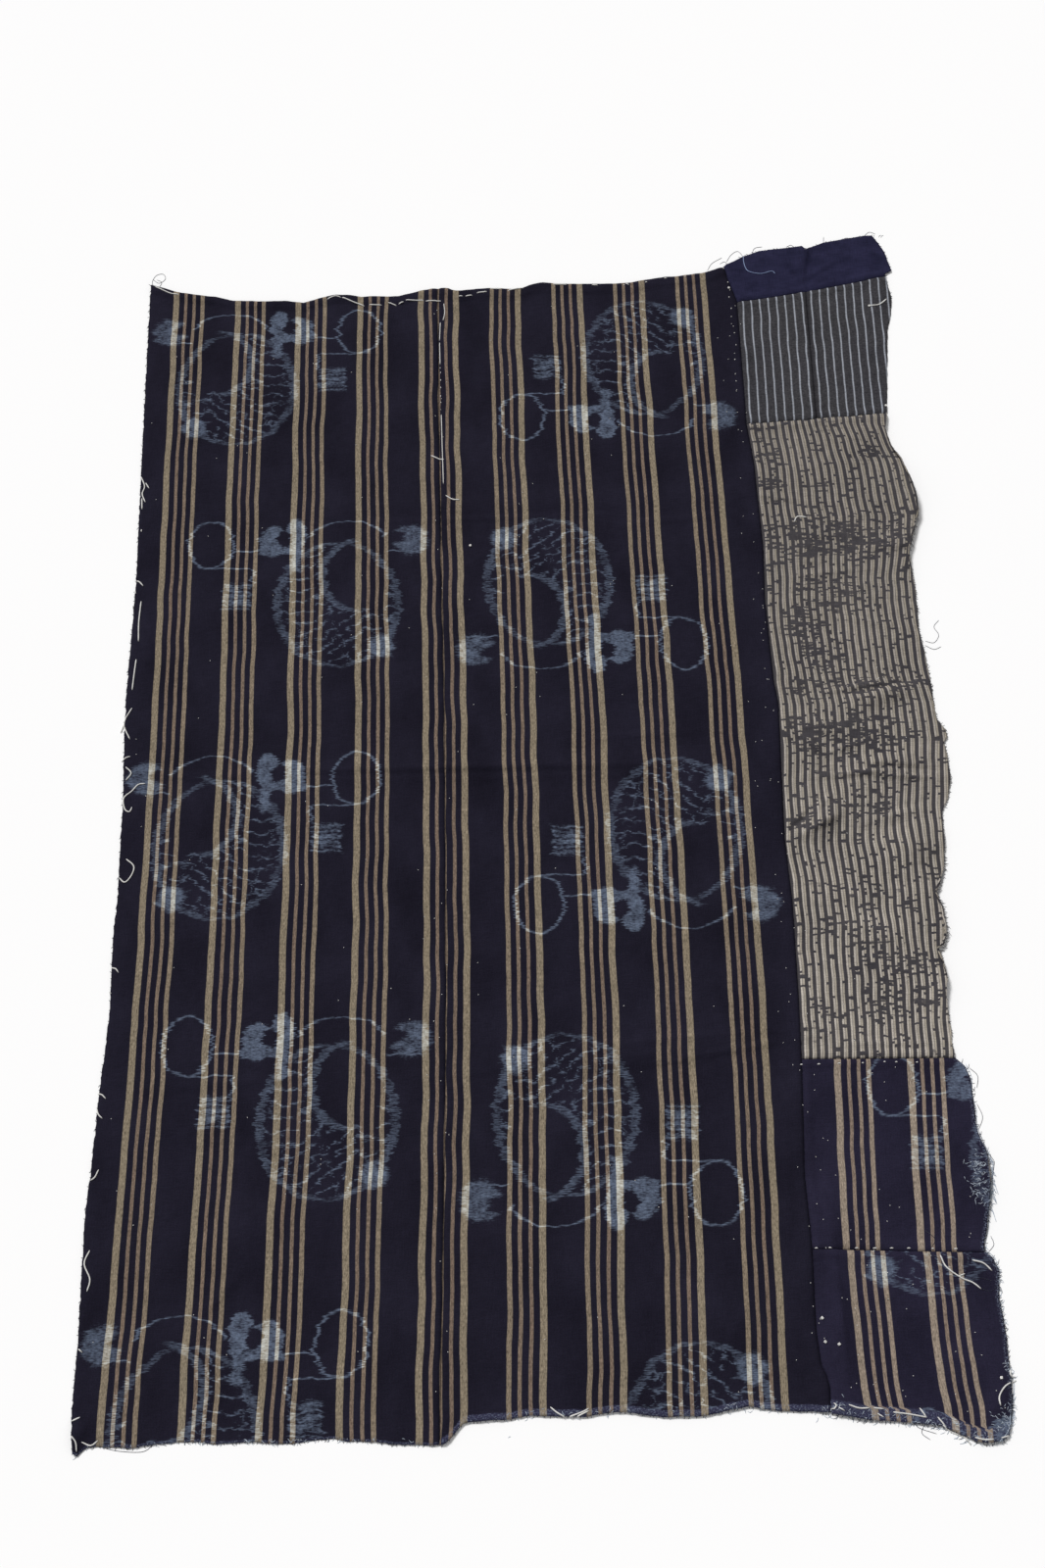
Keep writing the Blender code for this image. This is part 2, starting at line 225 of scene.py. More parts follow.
def humps(table, x, up):
    """The highest ridge at each point, less the deepest trough."""
    high = np.zeros_like(x)
    deep = np.zeros_like(x)
    for cx, cy, half_length, half_width, height, turn in table:
        c, s = math.cos(math.radians(turn)), math.sin(math.radians(turn))
        down = (x - cx) * c + (up - cy) * s
        over = (up - cy) * c - (x - cx) * s
        hump = height * soft(down / half_length) * soft(over / half_width)
        high = np.maximum(high, hump)
        deep = np.minimum(deep, hump)
    return high + deep


def ripple(x, up, size, seed, waves=9):
    """Gentle unevenness about this size: waves in many directions, between -1 and 1."""
    dice = np.random.default_rng(seed)
    total = np.zeros_like(x)
    for _ in range(waves):
        heading = dice.uniform(0, 2 * np.pi)
        length = size * dice.uniform(0.6, 1.5)
        phase = dice.uniform(0, 2 * np.pi)
        total += np.sin(2 * np.pi * (x * np.cos(heading) + up * np.sin(heading)) / length + phase)
    return total / waves ** 0.5 / 1.5


print(len(RIDGES), "broad ridges and", len(CREASES), "creases")

# %% [markdown]
# ## One function lays every sheet
# The sheet starts as a grid. Its corners are moved until the four sides lie on the
# four edge lines, its height comes from the folds, and near a seam the cloth dips into
# the stitching and swells over the turned-under allowance beside it. The map is in
# metres along the threads, so a stripe follows its seam as the real one does.
# A worn edge curls, and a height can't turn back over itself, so there the last
# millimetres are wound round a small roll instead. Solidify then gives the thickness.

# %% A grid between four edge lines
LAYER = 0.0007      # thickness of the cotton
SEAM_DIP = 0.0009   # how deep the cloth is drawn in at a seam
ALLOWANCE = 0.010   # width of the turned-under allowance beside a seam
TUCK = 0.0004       # how far each edge runs in under its neighbour at a seam
ROUNDS = 14         # x depends on y and y on x, so each is worked out this many times


def fit_to_edges(edges, across, up_share, sewn, rough):
    """The points at these shares of the way between four edge lines."""
    tuck = {side: TUCK if side in sewn else 0.0 for side in edges}
    raw = {side: rough.get(side, 0.0) for side in edges}
    y = along(edges["foot"], 0) + (along(edges["head"], 0) - along(edges["foot"], 0)) * up_share
    for _ in range(ROUNDS):
        left = along(edges["left"], y) - tuck["left"] + raw["left"] * ripple(y * 0, y, 0.007, 3)
        right = along(edges["right"], y) + tuck["right"] + raw["right"] * ripple(y * 0, y, 0.008, 4)
        x = left + (right - left) * across
        foot = along(edges["foot"], x) - tuck["foot"] + raw["foot"] * ripple(x, x * 0, 0.006, 5)
        head = along(edges["head"], x) + tuck["head"] + raw["head"] * ripple(x, x * 0, 0.012, 6)
        y = foot + (head - foot) * up_share
    return x, y, {"left": x - left, "right": right - x, "foot": y - foot, "head": head - y}


def seam_shape(reach, x, y):
    """The dip at a seam, the swell of its allowance, and the puckers its stitches pull."""
    pucker = 0.5 + 0.5 * np.sin(2 * np.pi * (x + y) / 0.0085 + 2.2 * np.sin((x - y) * 90))
    swell = 0.0010 * soft((reach - 0.55 * ALLOWANCE) / (0.6 * ALLOWANCE))
    dip = SEAM_DIP * soft(reach / 0.0028)
    return swell * (0.75 + 0.35 * pucker) - dip + 0.0003 * pucker * soft(reach / 0.020)


def hem_shape(reach, width, rise, x, y):
    """The step up on to a turned hem, a groove along its fold line and a slight unevenness."""
    on_hem = 1 / (1 + np.exp((reach - width) / 0.0006))
    groove = 0.0007 * soft((reach - width) / 0.0022)
    return rise * on_hem - groove + 0.0004 * on_hem * ripple(x, y, 0.016, 13)


# %% Meshes from arrays
def grid_faces(columns, rows):
    """Four-sided faces for a grid of points stored row by row."""
    corner = np.arange(rows - 1)[:, None] * columns + np.arange(columns - 1)[None, :]
    corner = corner.reshape(-1)
    return np.stack([corner, corner + 1, corner + 1 + columns, corner + columns], axis=1)


def mesh_from(name, points, faces):
    """A mesh object made in one go from arrays, which is far quicker than face by face."""
    mesh = bpy.data.meshes.new(name)
    mesh.from_pydata(points.tolist(), [], faces)
    made = bpy.data.objects.new(name, mesh)
    bpy.context.scene.collection.objects.link(made)
    return made


def only(piece):
    """Makes this the one selected and active object."""
    bpy.ops.object.select_all(action="DESELECT")
    piece.select_set(True)
    bpy.context.view_layer.objects.active = piece


def curl_edge(points, width, radius, amount):
    """Winds the cloth near its right edge round a roll. amount is the share that curls, row by row."""
    x, z = points[..., 0], points[..., 2]
    rim = x[:, -1:]
    start = rim - width * amount[:, None]
    past = np.maximum(0, x - start)
    turned = past / radius
    curled = past > 0
    points[..., 0] = np.where(curled, start + radius * np.sin(turned), x)
    points[..., 2] = np.where(curled, z + radius * (1 - np.cos(turned)), z)


def add_map(made, name, first, second):
    """A UV map that holds two numbers for every point of the grid."""
    layer = made.data.uv_layers.new(name=name)
    loops = np.empty(len(made.data.loops), np.int32)
    made.data.loops.foreach_get("vertex_index", loops)
    layer.data.foreach_set("uv", np.stack([first, second], -1).reshape(-1, 2)[loops].reshape(-1))


# %% [markdown]
# Each sheet carries two maps. The first holds the place along the threads, in metres,
# for every pattern. The second says how far a point is from the foot, counted in
# widths of the hem there, and from the raw right edge, so that a hem turned to its
# duller side and a frayed edge can be coloured where they are.

# %% Lay a sheet
NO_HEM, FAR_FROM_EDGE = 9.0, 0.1  # what the second map holds where there is neither


def lay_sheet(name, edges, size, sewn, pitch, thread_map, rough=None, hems=(), curl=None,
              ripples=0.0005, turned_up=None):
    """A closed sheet of cloth on the table. Sizes, pitch and hems are in metres."""
    columns = max(8, round(size[0] / pitch[0])) + 1
    rows = max(8, round(size[1] / pitch[1])) + 1
    across, up_share = np.meshgrid(np.linspace(0, 1, columns), np.linspace(0, 1, rows))
    x, y, reach = fit_to_edges(edges, across, up_share, sewn, rough or {})
    warp, weft = thread_map(x, y)
    z = humps(RIDGES, x, y) + humps(CREASES, x, y)
    z += ripples * (1 + ripple(x, y, 0.070, 11)) + 0.4 * ripples * (1 + ripple(x, y, 0.022, 12))
    for side in sewn:
        z += seam_shape(reach[side], x, y)
    for side, width, rise in hems:
        z += hem_shape(reach[side], width, rise, x, y)
    points = np.stack([x - MIDDLE[0], y - MIDDLE[1], np.maximum(z, 0.0) + LAYER / 2], axis=-1)
    if curl:
        curl_edge(points, curl[0], curl[1], along(curl[2], y[:, -1]))
    made = mesh_from(name, points.reshape(-1, 3), grid_faces(columns, rows).tolist())
    add_map(made, "threads", warp, weft)
    from_foot = reach["foot"] / turned_up if turned_up else np.full_like(x, NO_HEM)
    from_right = np.full_like(x, FAR_FROM_EDGE) if "right" in sewn else reach["right"]
    add_map(made, "edges", from_foot, from_right)
    thicken = made.modifiers.new("layer", "SOLIDIFY")
    thicken.thickness = LAYER
    thicken.offset = 0
    only(made)
    bpy.ops.object.modifier_apply(modifier=thicken.name)
    bpy.ops.object.shade_smooth()
    print(f"{name}: {columns} x {rows} points, {len(made.data.polygons)} faces")
    return made


# %% [markdown]
# ## Sums written as they read
# Material nodes can work out any pattern, but dozens of Math nodes are hard to follow.
# This small class lets a pattern be written as ordinary sums. Each operation adds one
# Math node and links it, and the nodes stay in the material for anyone to open.

# %% A number made of nodes
class Num:
    """A value in a node tree. Sums on it add Math nodes."""

    def __init__(self, tree, socket):
        self.tree, self.socket = tree, socket

    def do(self, operation, *others):
        """Adds one Math node, which reads this value and any others."""
        node = self.tree.nodes.new("ShaderNodeMath")
        node.operation = operation
        self.tree.links.new(self.socket, node.inputs[0])
        for place, other in enumerate(others, start=1):
            if isinstance(other, Num):
                self.tree.links.new(other.socket, node.inputs[place])
            else:
                node.inputs[place].default_value = other
        return Num(self.tree, node.outputs[0])

    def __add__(self, other):
        return self.do("ADD", other)

    def __sub__(self, other):
        return self.do("SUBTRACT", other)

    def __mul__(self, other):
        return self.do("MULTIPLY", other)

    def __truediv__(self, other):
        return self.do("DIVIDE", other)

    def __abs__(self):
        return self.do("ABSOLUTE")

    def __neg__(self):
        return self * -1.0

    def most(self, other):
        return self.do("MAXIMUM", other)

    def least(self, other):
        return self.do("MINIMUM", other)

    def floor(self):
        return self.do("FLOOR")

    def part(self):
        """What is left above the whole number."""
        return self.do("FRACT")

    def wave(self):
        return self.do("SINE")

    def held(self):
        """The same, kept between nought and one."""
        return self.least(1.0).most(0.0)

    def rest(self):
        """What is left of one."""
        return -self + 1.0

    def over(self, limit, blur):
        """One above this limit and nought below it, with a soft step."""
        return ((self - limit) / blur + 0.5).held()

    def near(self, half, blur):
        """One within this distance of nought."""
        return (-(abs(self) - half) / blur + 0.5).held()


# %% Noise, chance and colour as sums
def length(x, y):
    """How far a place is from nought."""
    return (x * x + y * y).do("SQRT")


def speckle(x, y, seed=0.0, detail=1.0):
    """Soft noise of about one unit in size."""
    tree = x.tree
    join = tree.nodes.new("ShaderNodeCombineXYZ")
    tree.links.new(x.socket, join.inputs[0])
    tree.links.new(y.socket, join.inputs[1])
    join.inputs[2].default_value = seed
    noise = tree.nodes.new("ShaderNodeTexNoise")
    noise.inputs["Scale"].default_value = 1.0
    noise.inputs["Detail"].default_value = detail
    tree.links.new(join.outputs[0], noise.inputs["Vector"])
    return Num(tree, noise.outputs[0])


def lottery(x, y):
    """A different number from nought to one for each pair of whole numbers."""
    tree = x.tree
    join = tree.nodes.new("ShaderNodeCombineXYZ")
    tree.links.new(x.socket, join.inputs[0])
    tree.links.new(y.socket, join.inputs[1])
    white = tree.nodes.new("ShaderNodeTexWhiteNoise")
    white.noise_dimensions = "2D"
    tree.links.new(join.outputs[0], white.inputs["Vector"])
    return Num(tree, white.outputs[0])


def blend(share, first, second):
    """Mixes two colours. Each is a plain colour or a socket."""
    tree = share.tree
    node = tree.nodes.new("ShaderNodeMix")
    node.data_type = "RGBA"
    tree.links.new(share.socket, node.inputs[0])
    for place, colour in ((6, first), (7, second)):
        if isinstance(colour, tuple):
            node.inputs[place].default_value = colour
        else:
            tree.links.new(colour, node.inputs[place])
    return node.outputs[2]


def tint(colour, share):
    """A colour made lighter or darker by a number."""
    tree = share.tree
    scale = tree.nodes.new("ShaderNodeVectorMath")
    scale.operation = "SCALE"
    tree.links.new(colour, scale.inputs[0])
    tree.links.new(share.socket, scale.inputs["Scale"])
    return scale.outputs[0]


# %% [markdown]
# ## Dyed cotton
# Every cloth here is plain weave: one thread over, one under. The shader gives each a
# rough, nearly shineless surface and bumps it twice, finely with the threads
# themselves and broadly with the crinkle of cloth that has often been washed. Colours
# are written as they look under this light, from 0 to 255, and turned into the linear
# values that Cycles works in.

# %% Cotton material
LIGHT = 1.12  # how bright a white card would be on this table


def dye(red, green, blue):
    """A colour as it should look on the table."""
    linear = []
    for value in (red, green, blue):
        share = value / 255
        low = share <= 0.04045
        linear.append((share / 12.92 if low else ((share + 0.055) / 1.055) ** 2.4) / LIGHT)
    return (*linear, 1.0)


def read_map(tree, name):
    """The two numbers that a UV map holds."""
    where = tree.nodes.new("ShaderNodeUVMap")
    where.uv_map = name
    split = tree.nodes.new("ShaderNodeSeparateXYZ")
    tree.links.new(where.outputs[0], split.inputs[0])
    return Num(tree, split.outputs[0]), Num(tree, split.outputs[1])


def start_cotton(name):
    """A new material, with its map split into millimetres along weft and warp."""
    cotton = bpy.data.materials.new(name)
    cotton.use_nodes = True
    across, up = read_map(cotton.node_tree, "threads")
    return cotton, across * 1000.0, up * 1000.0


def bump_from(height, strength, distance):
    """A Bump node that reads this height."""
    node = height.tree.nodes.new("ShaderNodeBump")
    node.inputs["Strength"].default_value = strength
    node.inputs["Distance"].default_value = distance
    height.tree.links.new(height.socket, node.inputs["Height"])
    return node


WARP_THREAD = 0.62                # millimetres from one warp thread to the next
WEFT_THREAD = WARP_THREAD * 1.1   # and from one weft thread to the next


def finish_cotton(cotton, across, up, colour, slub):
    """Adds the weave, the uneven yarn and the bumps, and ends at the shader."""
    tree = cotton.node_tree
    shader = tree.nodes["Principled BSDF"]
    over = ((across / WARP_THREAD).floor() + (up / WEFT_THREAD).floor()) * 0.5
    checks = over.part() * 2.0
    yarn = speckle(across / 0.7, up / 14.0, 3.0) + speckle(across / 11.0, up / 0.8, 7.0)
    cloudy = speckle(across / 38.0, up / 55.0, 5.0, 3.0)
    light = (yarn - 1.0) * (2.2 * slub) + (cloudy - 0.5) * 0.35 + checks * 0.10 + 0.95
    tree.links.new(tint(colour, light), shader.inputs["Base Color"])
    round_warp = abs((across / WARP_THREAD * math.pi).wave()) * checks
    round_weft = abs((up / WEFT_THREAD * math.pi).wave()) * checks.rest()
    crinkle = bump_from(speckle(across / 10.0, up / 7.0, 61.0, 3.0), 0.7, 0.0012)
    weave = bump_from(round_warp + round_weft + (yarn - 1.0) * 0.8, 0.25, 0.0004)
    tree.links.new(crinkle.outputs[0], weave.inputs["Normal"])
    tree.links.new(weave.outputs[0], shader.inputs["Normal"])
    shader.inputs["Roughness"].default_value = 0.92
    shader.inputs["Specular IOR Level"].default_value = 0.05
    return cotton


# %% [markdown]
# ## Striped kasuri
# Kasuri is ikat: the weft was bound and dyed before weaving, so each row of a figure
# lands a little to one side of the next, and every upright edge breaks into fine level
# ticks. The figures are a thread ball with its cords, a bow and small flowers. One
# repeat is drawn with ovals and bands, and odd repeats are mirrored. Shifting each row
# by its own small number gives the ticks. Where a pale weft crosses a tan warp stripe
# the cloth shows cream, and where it crosses navy it shows grey-blue.

# %% Warp stripes
GROUP = 70.3         # millimetres from one group of stripes to the next
FIRST_STRIPE = 19.3  # from the seam side to the first broad stripe
LAST_STRIPE = 308.0  # beyond this the warp is plain navy
NARROW_SIDE = 49.0   # how far a group reaches on the side of its narrow stripes
BARS = [  # place, half_width, brownness
    (0.0, 3.1, 0.00), (-10.8, 1.55, 0.85), (-20.3, 1.60, 0.70), (-29.9, 2.1, 0.30),
]


def warp_stripes(across, up):
    """How much tan the warp has here, and how brown it is."""
    wander = (speckle(across / 90.0, up / 70.0, 2.0) - 0.5) * 4.4
    wander = wander + (speckle(across / 60.0, up / 34.0, 6.0, 1.0) - 0.5) * 1.4
    start = across + wander - FIRST_STRIPE + NARROW_SIDE
    place = (start / GROUP).part() * GROUP - NARROW_SIDE
    tan, brown = None, None
    for centre, half, brownness in BARS:
        bar = (place - centre).near(half, 0.8)
        tan = bar if tan is None else tan.most(bar)
        brown = bar * brownness if brown is None else brown.most(bar * brownness)
    inside = across.over(LAST_STRIPE, 1.0).rest()
    return tan * inside, brown


# %% [markdown]
# ### Drawing with distances
# An oval is a length compared with one. A band along it is that difference, folded at
# nought. Nearly everything below is one of these two or a straight bar, and a figure is
# the most of its parts. Only the ball's windings are slanting stripes, bent by noise.
# The soft step at each edge is wide, and the mottled yarn then eats into it, which is
# how an ikat edge fades. Places are in millimetres from the bow.

# %% Ovals and bands
def disc(x, y, cx, cy, rx, ry, fade=0.22):
    """One inside an oval, fading out at its edge."""
    return length((x - cx) / rx, (y - cy) / ry).over(1.0, fade).rest()


def ring(x, y, cx, cy, rx, ry, half, spread=0.9):
    """A band along an oval, wider by this much on its upright sides, where the rows slip."""
    away = (length((x - cx) / rx, (y - cy) / ry) - 1.0) * ((rx + ry) / 2)
    return away.near(abs((x - cx) / rx) * spread + half, 2.4)


# %% The parts of a figure
def bow(x, y):
    """Two loops of ribbon with an eye between them, and one end hanging."""
    loops = disc(x, y, -12.0, 0.0, 16.0, 20.0).most(disc(x, y, 12.0, 8.0, 12.0, 21.0))
    eye = disc(x, y, 0.0, 3.0, 7.0, 9.0, 0.4)
    tie = (y + 12.0).near(5.0, 2.0) * (x + 4.0).near(25.0, 5.0)
    tail = (x - 13.0).near(6.0, 4.0) * (y + 22.0).near(17.0, 6.0)
    return (loops * eye.rest()).most(tie).most(tail)


def cords(x, y):
    """A cord arched over the ball to a flower, and one looped out to the small square."""
    arch = ring(x, y, 68.0, -2.0, 42.0, 26.0, 1.1) * y.over(3.0, 4.0)
    rest = (y + 15.0).near(1.2, 1.6) * (x - 128.0).near(18.0, 4.0)
    link = (y + 11.0).near(1.2, 1.6) * (x + 42.0).near(15.0, 3.0)
    loop = ring(x, y, -79.0, -3.0, 24.0, 29.5, 1.3)
    back = (y + 33.0).near(1.1, 1.6) * (x + 56.0).near(24.0, 3.0)
    drop = (x + 33.0).near(2.0, 2.5) * (y + 43.0).near(10.0, 2.0)
    return arch.most(rest).most(link).most(loop).most(back).most(drop)


def thread_ball(x, y):
    """An oval ball: a worn rim, a plain window in a broad band, and windings that lean past it."""
    rim = ring(x, y, 58.0, -79.0, 64.0, 75.0, 1.7, 3.4)
    inside = disc(x, y, 58.0, -79.0, 63.0, 74.0, 0.05)
    window = disc(x, y, 80.0, -44.0, 34.0, 39.0, 0.1)
    band = ring(x, y, 80.0, -44.0, 38.0, 43.0, 2.6, 2.4) * x.over(82.0, 14.0).rest()
    lean = (x - 30.0).most(0.0).least(56.0) * 0.80
    wobble = (speckle(x / 13.0, y / 11.0, 41.0, 2.0) - 0.5) * 22.0
    windings = (((y - lean + wobble) / 13.5).part() - 0.5).near(0.14, 0.22)
    worn_off = speckle(x / 17.0, y / 10.0, 31.0, 1.0).over(0.38, 0.16)
    cross = (((x + y * 0.35 + wobble) / 38.0).part() - 0.5).near(0.045, 0.07)
    cross = cross * y.do("LESS_THAN", -52.0)
    windings = windings.most(cross * 0.8) * inside * window.rest() * worn_off
    faded = speckle(x / 26.0, y / 22.0, 47.0, 1.0) * 0.9 + 0.42
    return (rim * 0.86 * faded.least(1.0)).most(band * 0.80).most(windings * 0.95)


def small_flowers(x, y):
    """A square flower, one open like a claw, and a round one under the ball."""
    square = abs(x + 49.5).most(abs(y + 68.0))
    level = speckle(x / 30.0, y / 3.6, 43.0, 1.0).over(0.56, 0.16) * 0.45
    line_inside = (square - 9.5).near(1.4, 4.0) * 0.3
    blossom = square.over(16.5, 5.0).rest() * line_inside.rest() - level
    palm = disc(x, y, 117.0, 3.0, 12.0, 6.5, 0.7)
    claw = disc(x, y, 136.0, 0.0, 21.0, 20.0, 0.4) * palm.rest()
    round_one = disc(x, y, 104.0, -131.0, 15.0, 15.0, 0.45)
    return blossom.most(claw * 0.92).most(round_one)


# %% Weft figures
HALF_REPEAT = 281.0  # millimetres between one figure and its mirrored neighbour
BOW_LINE = 169.5     # the bow's place across the cloth
BELOW_BOW = 200.0    # how far below its bow a figure's share of the cloth begins


def weft_figures(across, up):
    """How strongly the weft is undyed here, from nought to one."""
    row = up.floor()  # a millimetre of rows slips as one
    slip = (lottery(row, row * 0.37 + 5.0) - 0.5) * 3.4
    drift = (speckle(up / 7.0, up * 0.0, 4.0, 2.0) - 0.5) * 17.0
    repeat = ((up + BELOW_BOW) / HALF_REPEAT).floor()
    y = up - repeat * HALF_REPEAT
    y = y + (speckle(across / 16.0, up / 60.0, 14.0) - 0.5) * 7.0
    side = -((repeat * 0.5).part() * 4.0 - 1.0)
    x = (across + slip + drift - BOW_LINE) * side
    lines = cords(x, y).most(thread_ball(x, y))
    solids = bow(x, y).most(small_flowers(x, y))
    mottle = speckle(across / 3.4, up / 1.3, 8.0, 3.0)
    cloud = speckle(across / 11.0, up / 8.0, 18.0, 1.0)
    ticks = speckle(across / 7.5, up / 1.0, 27.0, 2.0)
    kept = (mottle - 0.5) * 2.6 + (cloud - 0.5) * 1.4 + (ticks - 0.5) * 1.2
    line_kept = (ticks - 0.5) * 3.4 + (mottle - 0.5) * 1.2
    line_share = (lines * 1.10 - 0.46 + line_kept * 0.8).held()
    solid_share = (solids * 1.10 - 0.50 + kept * 0.8).held()
    return (line_share * lines * 0.95).most(solid_share * solids)


# %% [markdown]
# ### The stripes and the figures together
# Warp shows where nothing covers it and weft where it is undyed, so the two are
# blended by the figure's strength. Fine dark streaks run along the tan yarns. A hem
# turned to the front shows the duller back, and pale tufts stand along a frayed edge.

# %% Kasuri cloth
def kasuri(name, navy_low, navy_high, tan_thick, tan_thin):
    """The two long panels and the two lowest patches are all cut from this cloth."""
    cotton, across, up = start_cotton(name)
    tan, brown = warp_stripes(across, up)
    streaks = speckle(across / 0.45, up / 11.0, 1.0, 2.0)
    streaks = streaks + speckle(across / 0.8, up / 3.0, 15.0, 1.0)
    warp_tone = (streaks - 1.0) * 1.5 + 0.92
    faded = speckle(across / 50.0, up / 80.0, 23.0, 3.0)
    grain = speckle(across / 1.3, up / 1.1, 29.0, 2.0)
    navy = blend((faded * 1.8 + grain * 1.2 - 1.0).held(), navy_low, navy_high)
    hems_off, metres_off = read_map(cotton.node_tree, "edges")
    turned = hems_off.over(1.0, 0.2).rest()
    frays = (metres_off * 1000.0).over(3.0, 3.0).rest()
    navy = blend(turned * 0.7, navy, dye(54, 54, 78))
    warp_tan = blend(brown, tan_thick, tan_thin)
    ground = blend((tan * 1.3).least(1.0), navy, tint(warp_tan, warp_tone))
    figure = weft_figures(across, up)
    pale = blend((tan * 1.6).least(1.0), dye(99, 110, 130), dye(204, 205, 198))
    woven = blend(figure, ground, pale)
    tufts = speckle(across / 1.6, up / 1.3, 51.0, 2.0).over(0.56, 0.12) * (turned * 0.5).most(frays)
    woven = blend(tufts * 0.55, woven, dye(138, 148, 172))
    return finish_cotton(cotton, across, up, woven, slub=0.20)


kasuri_cloth = kasuri(
    "kasuri_cotton", dye(23, 21, 32), dye(36, 34, 48), dye(138, 126, 108), dye(120, 102, 91))
less_worn_kasuri = kasuri(
    "kasuri_cotton_patch", dye(28, 26, 40), dye(43, 40, 59), dye(152, 138, 124), dye(134, 117, 105))
print("nodes in the kasuri cloth:", len(kasuri_cloth.node_tree.nodes))

# %% [markdown]
# ## Three more cottons
# The indigo patch is plain-dyed and only clouded by wear. The grey one has a pale
# pinstripe about every centimetre. The worn patch was once striped slate and tan, and
# in many rows the tan yarn has gone, so the dark yarn under it shows as little blocks.
# Each gap belongs to one stripe and one run of rows, so a lottery drawn for that pair
# decides it. How often it loses follows a short table of worn places and a slow noise.

# %% Indigo and pinstripe
def indigo():
    """Plain blue, clouded, with a little pale lint."""
    cotton, across, up = start_cotton("indigo_cotton")
    cloud = speckle(across / 20.0, up / 14.0, 2.0, 3.0)
    shade = blend((cloud * 1.6 - 0.3).held(), dye(30, 30, 51), dye(45, 44, 70))
    lint = speckle(across / 0.9, up / 0.9, 4.0).over(0.80, 0.03) * 0.35
    return finish_cotton(cotton, across, up, blend(lint, shade, dye(120, 122, 140)), slub=0.30)


PIN_FIRST, PIN_PITCH, PIN_HALF = 5.2, 9.82, 0.80  # millimetres


def pinstripe():
    """Grey with broken pale stripes, and painted shade along the puckered seam."""
    cotton, across, up = start_cotton("pinstripe_cotton")
    wander = (speckle(across / 50.0, up / 34.0, 6.0, 1.0) - 0.5) * 3.0
    place = (((across + wander - PIN_FIRST) / PIN_PITCH + 0.5).part() - 0.5) * PIN_PITCH
    broken = speckle(across / 1.0, up / 2.4, 3.0, 2.0) * 2.0
    pin = place.near(PIN_HALF, 0.9) * broken.least(1.0)
    rubbed = speckle(across / 3.0, up / 2.0, 9.0, 3.0)
    warm = speckle(across / 45.0, up / 60.0, 9.0)
    ground = blend(warm, dye(62, 61, 67), dye(74, 73, 74))
    ground = blend((rubbed * 2.4 - 0.6).held(), dye(46, 45, 49), ground)
    # Painted shade: within about 2.4 mm of the seam the grey is darkened, mottled by this noise, standing
    # in for the shadow in the seam's puckers.
    pucker = speckle(across / 4.0, up / 5.0, 19.0, 1.0) * 0.9 + 0.2
    ground = blend(across.over(2.4, 2.4).rest() * pucker, ground, dye(40, 39, 43))
    return finish_cotton(cotton, across, up, blend(pin, ground, dye(158, 162, 171)), slub=0.35)


# %% Worn tan
STRIPE_PITCH = 7.7                  # millimetres from one tan stripe to the next
LINE_PLACE, LINE_HALF = 1.15, 0.85  # each stripe is a pair of lines, this far either side
WORN_PLACES = [  # across, up, half_width, half_height, how worn
    (20, 690, 14, 12, 1.6), (69, 660, 14, 14, 1.6), (126, 694, 14, 7, 2.0), (15, 655, 14, 9, 1.8),
    (75, 582, 92, 26, 2.0), (64, 516, 30, 18, 1.7), (39, 478, 20, 18, 1.6), (51, 446, 22, 22, 1.8),
    (108, 403, 48, 8, 1.7), (28, 401, 20, 14, 1.4), (66, 348, 54, 24, 2.2), (74, 265, 32, 14, 1.6),
    (16, 249, 16, 9, 1.5), (76, 171, 10, 18, 1.2), (75, 110, 22, 30, 1.5), (117, 93, 28, 12, 1.7),
    (38, 138, 12, 14, 1.1), (21, 47, 14, 14, 1.0), (82, 50, 24, 18, 1.1), (122, 58, 14, 18, 1.3),
]
WHOLE_GAPS = [(2.1, 0.085), (3.7, 0.060)]  # height of a run of rows, odds of losing it
ONE_LINE_GAP = (2.5, 0.09)                 # the same, where one line of a pair is lost
LEVEL_GAP = (2.2, 0.10)                    # the same, where a gap runs on across stripes
SHARP = 0.01                               # a lottery is won or lost, with next to no blur


def worn_places(across, up):
    """How worn the patch is here, from nought to about two."""
    worn = None
    for cx, cy, half_width, half_height, strength in WORN_PLACES:
        spot = disc(across, up, cx, cy, half_width, half_height, 0.9) * strength
        worn = spot if worn is None else worn.most(spot)
    patchy = speckle(across / 20.0, up / 12.0, 12.0, 2.0)
    return (worn + 0.42) * (patchy * 3.4 - 0.7).most(0.1).least(1.7)


def tan_left(across, up, warp):
    """One where the tan yarn is whole and nought where it has gone."""
    worn = worn_places(across, up)
    step = (speckle(across / 6.0, up / 9.0, 33.0) - 0.5) * 3.0
    line, stripe = (warp * 2.0).floor(), warp.floor()
    rows, odds = ONE_LINE_GAP
    row = ((up + step) / rows + line * 0.37).floor()
    intact = (worn * odds - lottery(row, line * 1.3 + 7.0)).over(0.0, SHARP).rest()
    for rows, odds in WHOLE_GAPS:
        row = ((up + step) / rows + stripe * 0.29).floor()
        lost = (worn * odds - lottery(row, stripe * 1.7 + rows)).over(0.0, SHARP)
        intact = intact.least(lost.rest())
    rows, odds = LEVEL_GAP
    row = ((up + step * 0.4) / rows).floor()
    ticket = lottery(row, (across / 21.0 + row * 0.31).floor())
    lost = ((worn - 0.7).most(0.0) * odds - ticket).over(0.0, SHARP)
    return intact.least((lost * 0.9).rest())


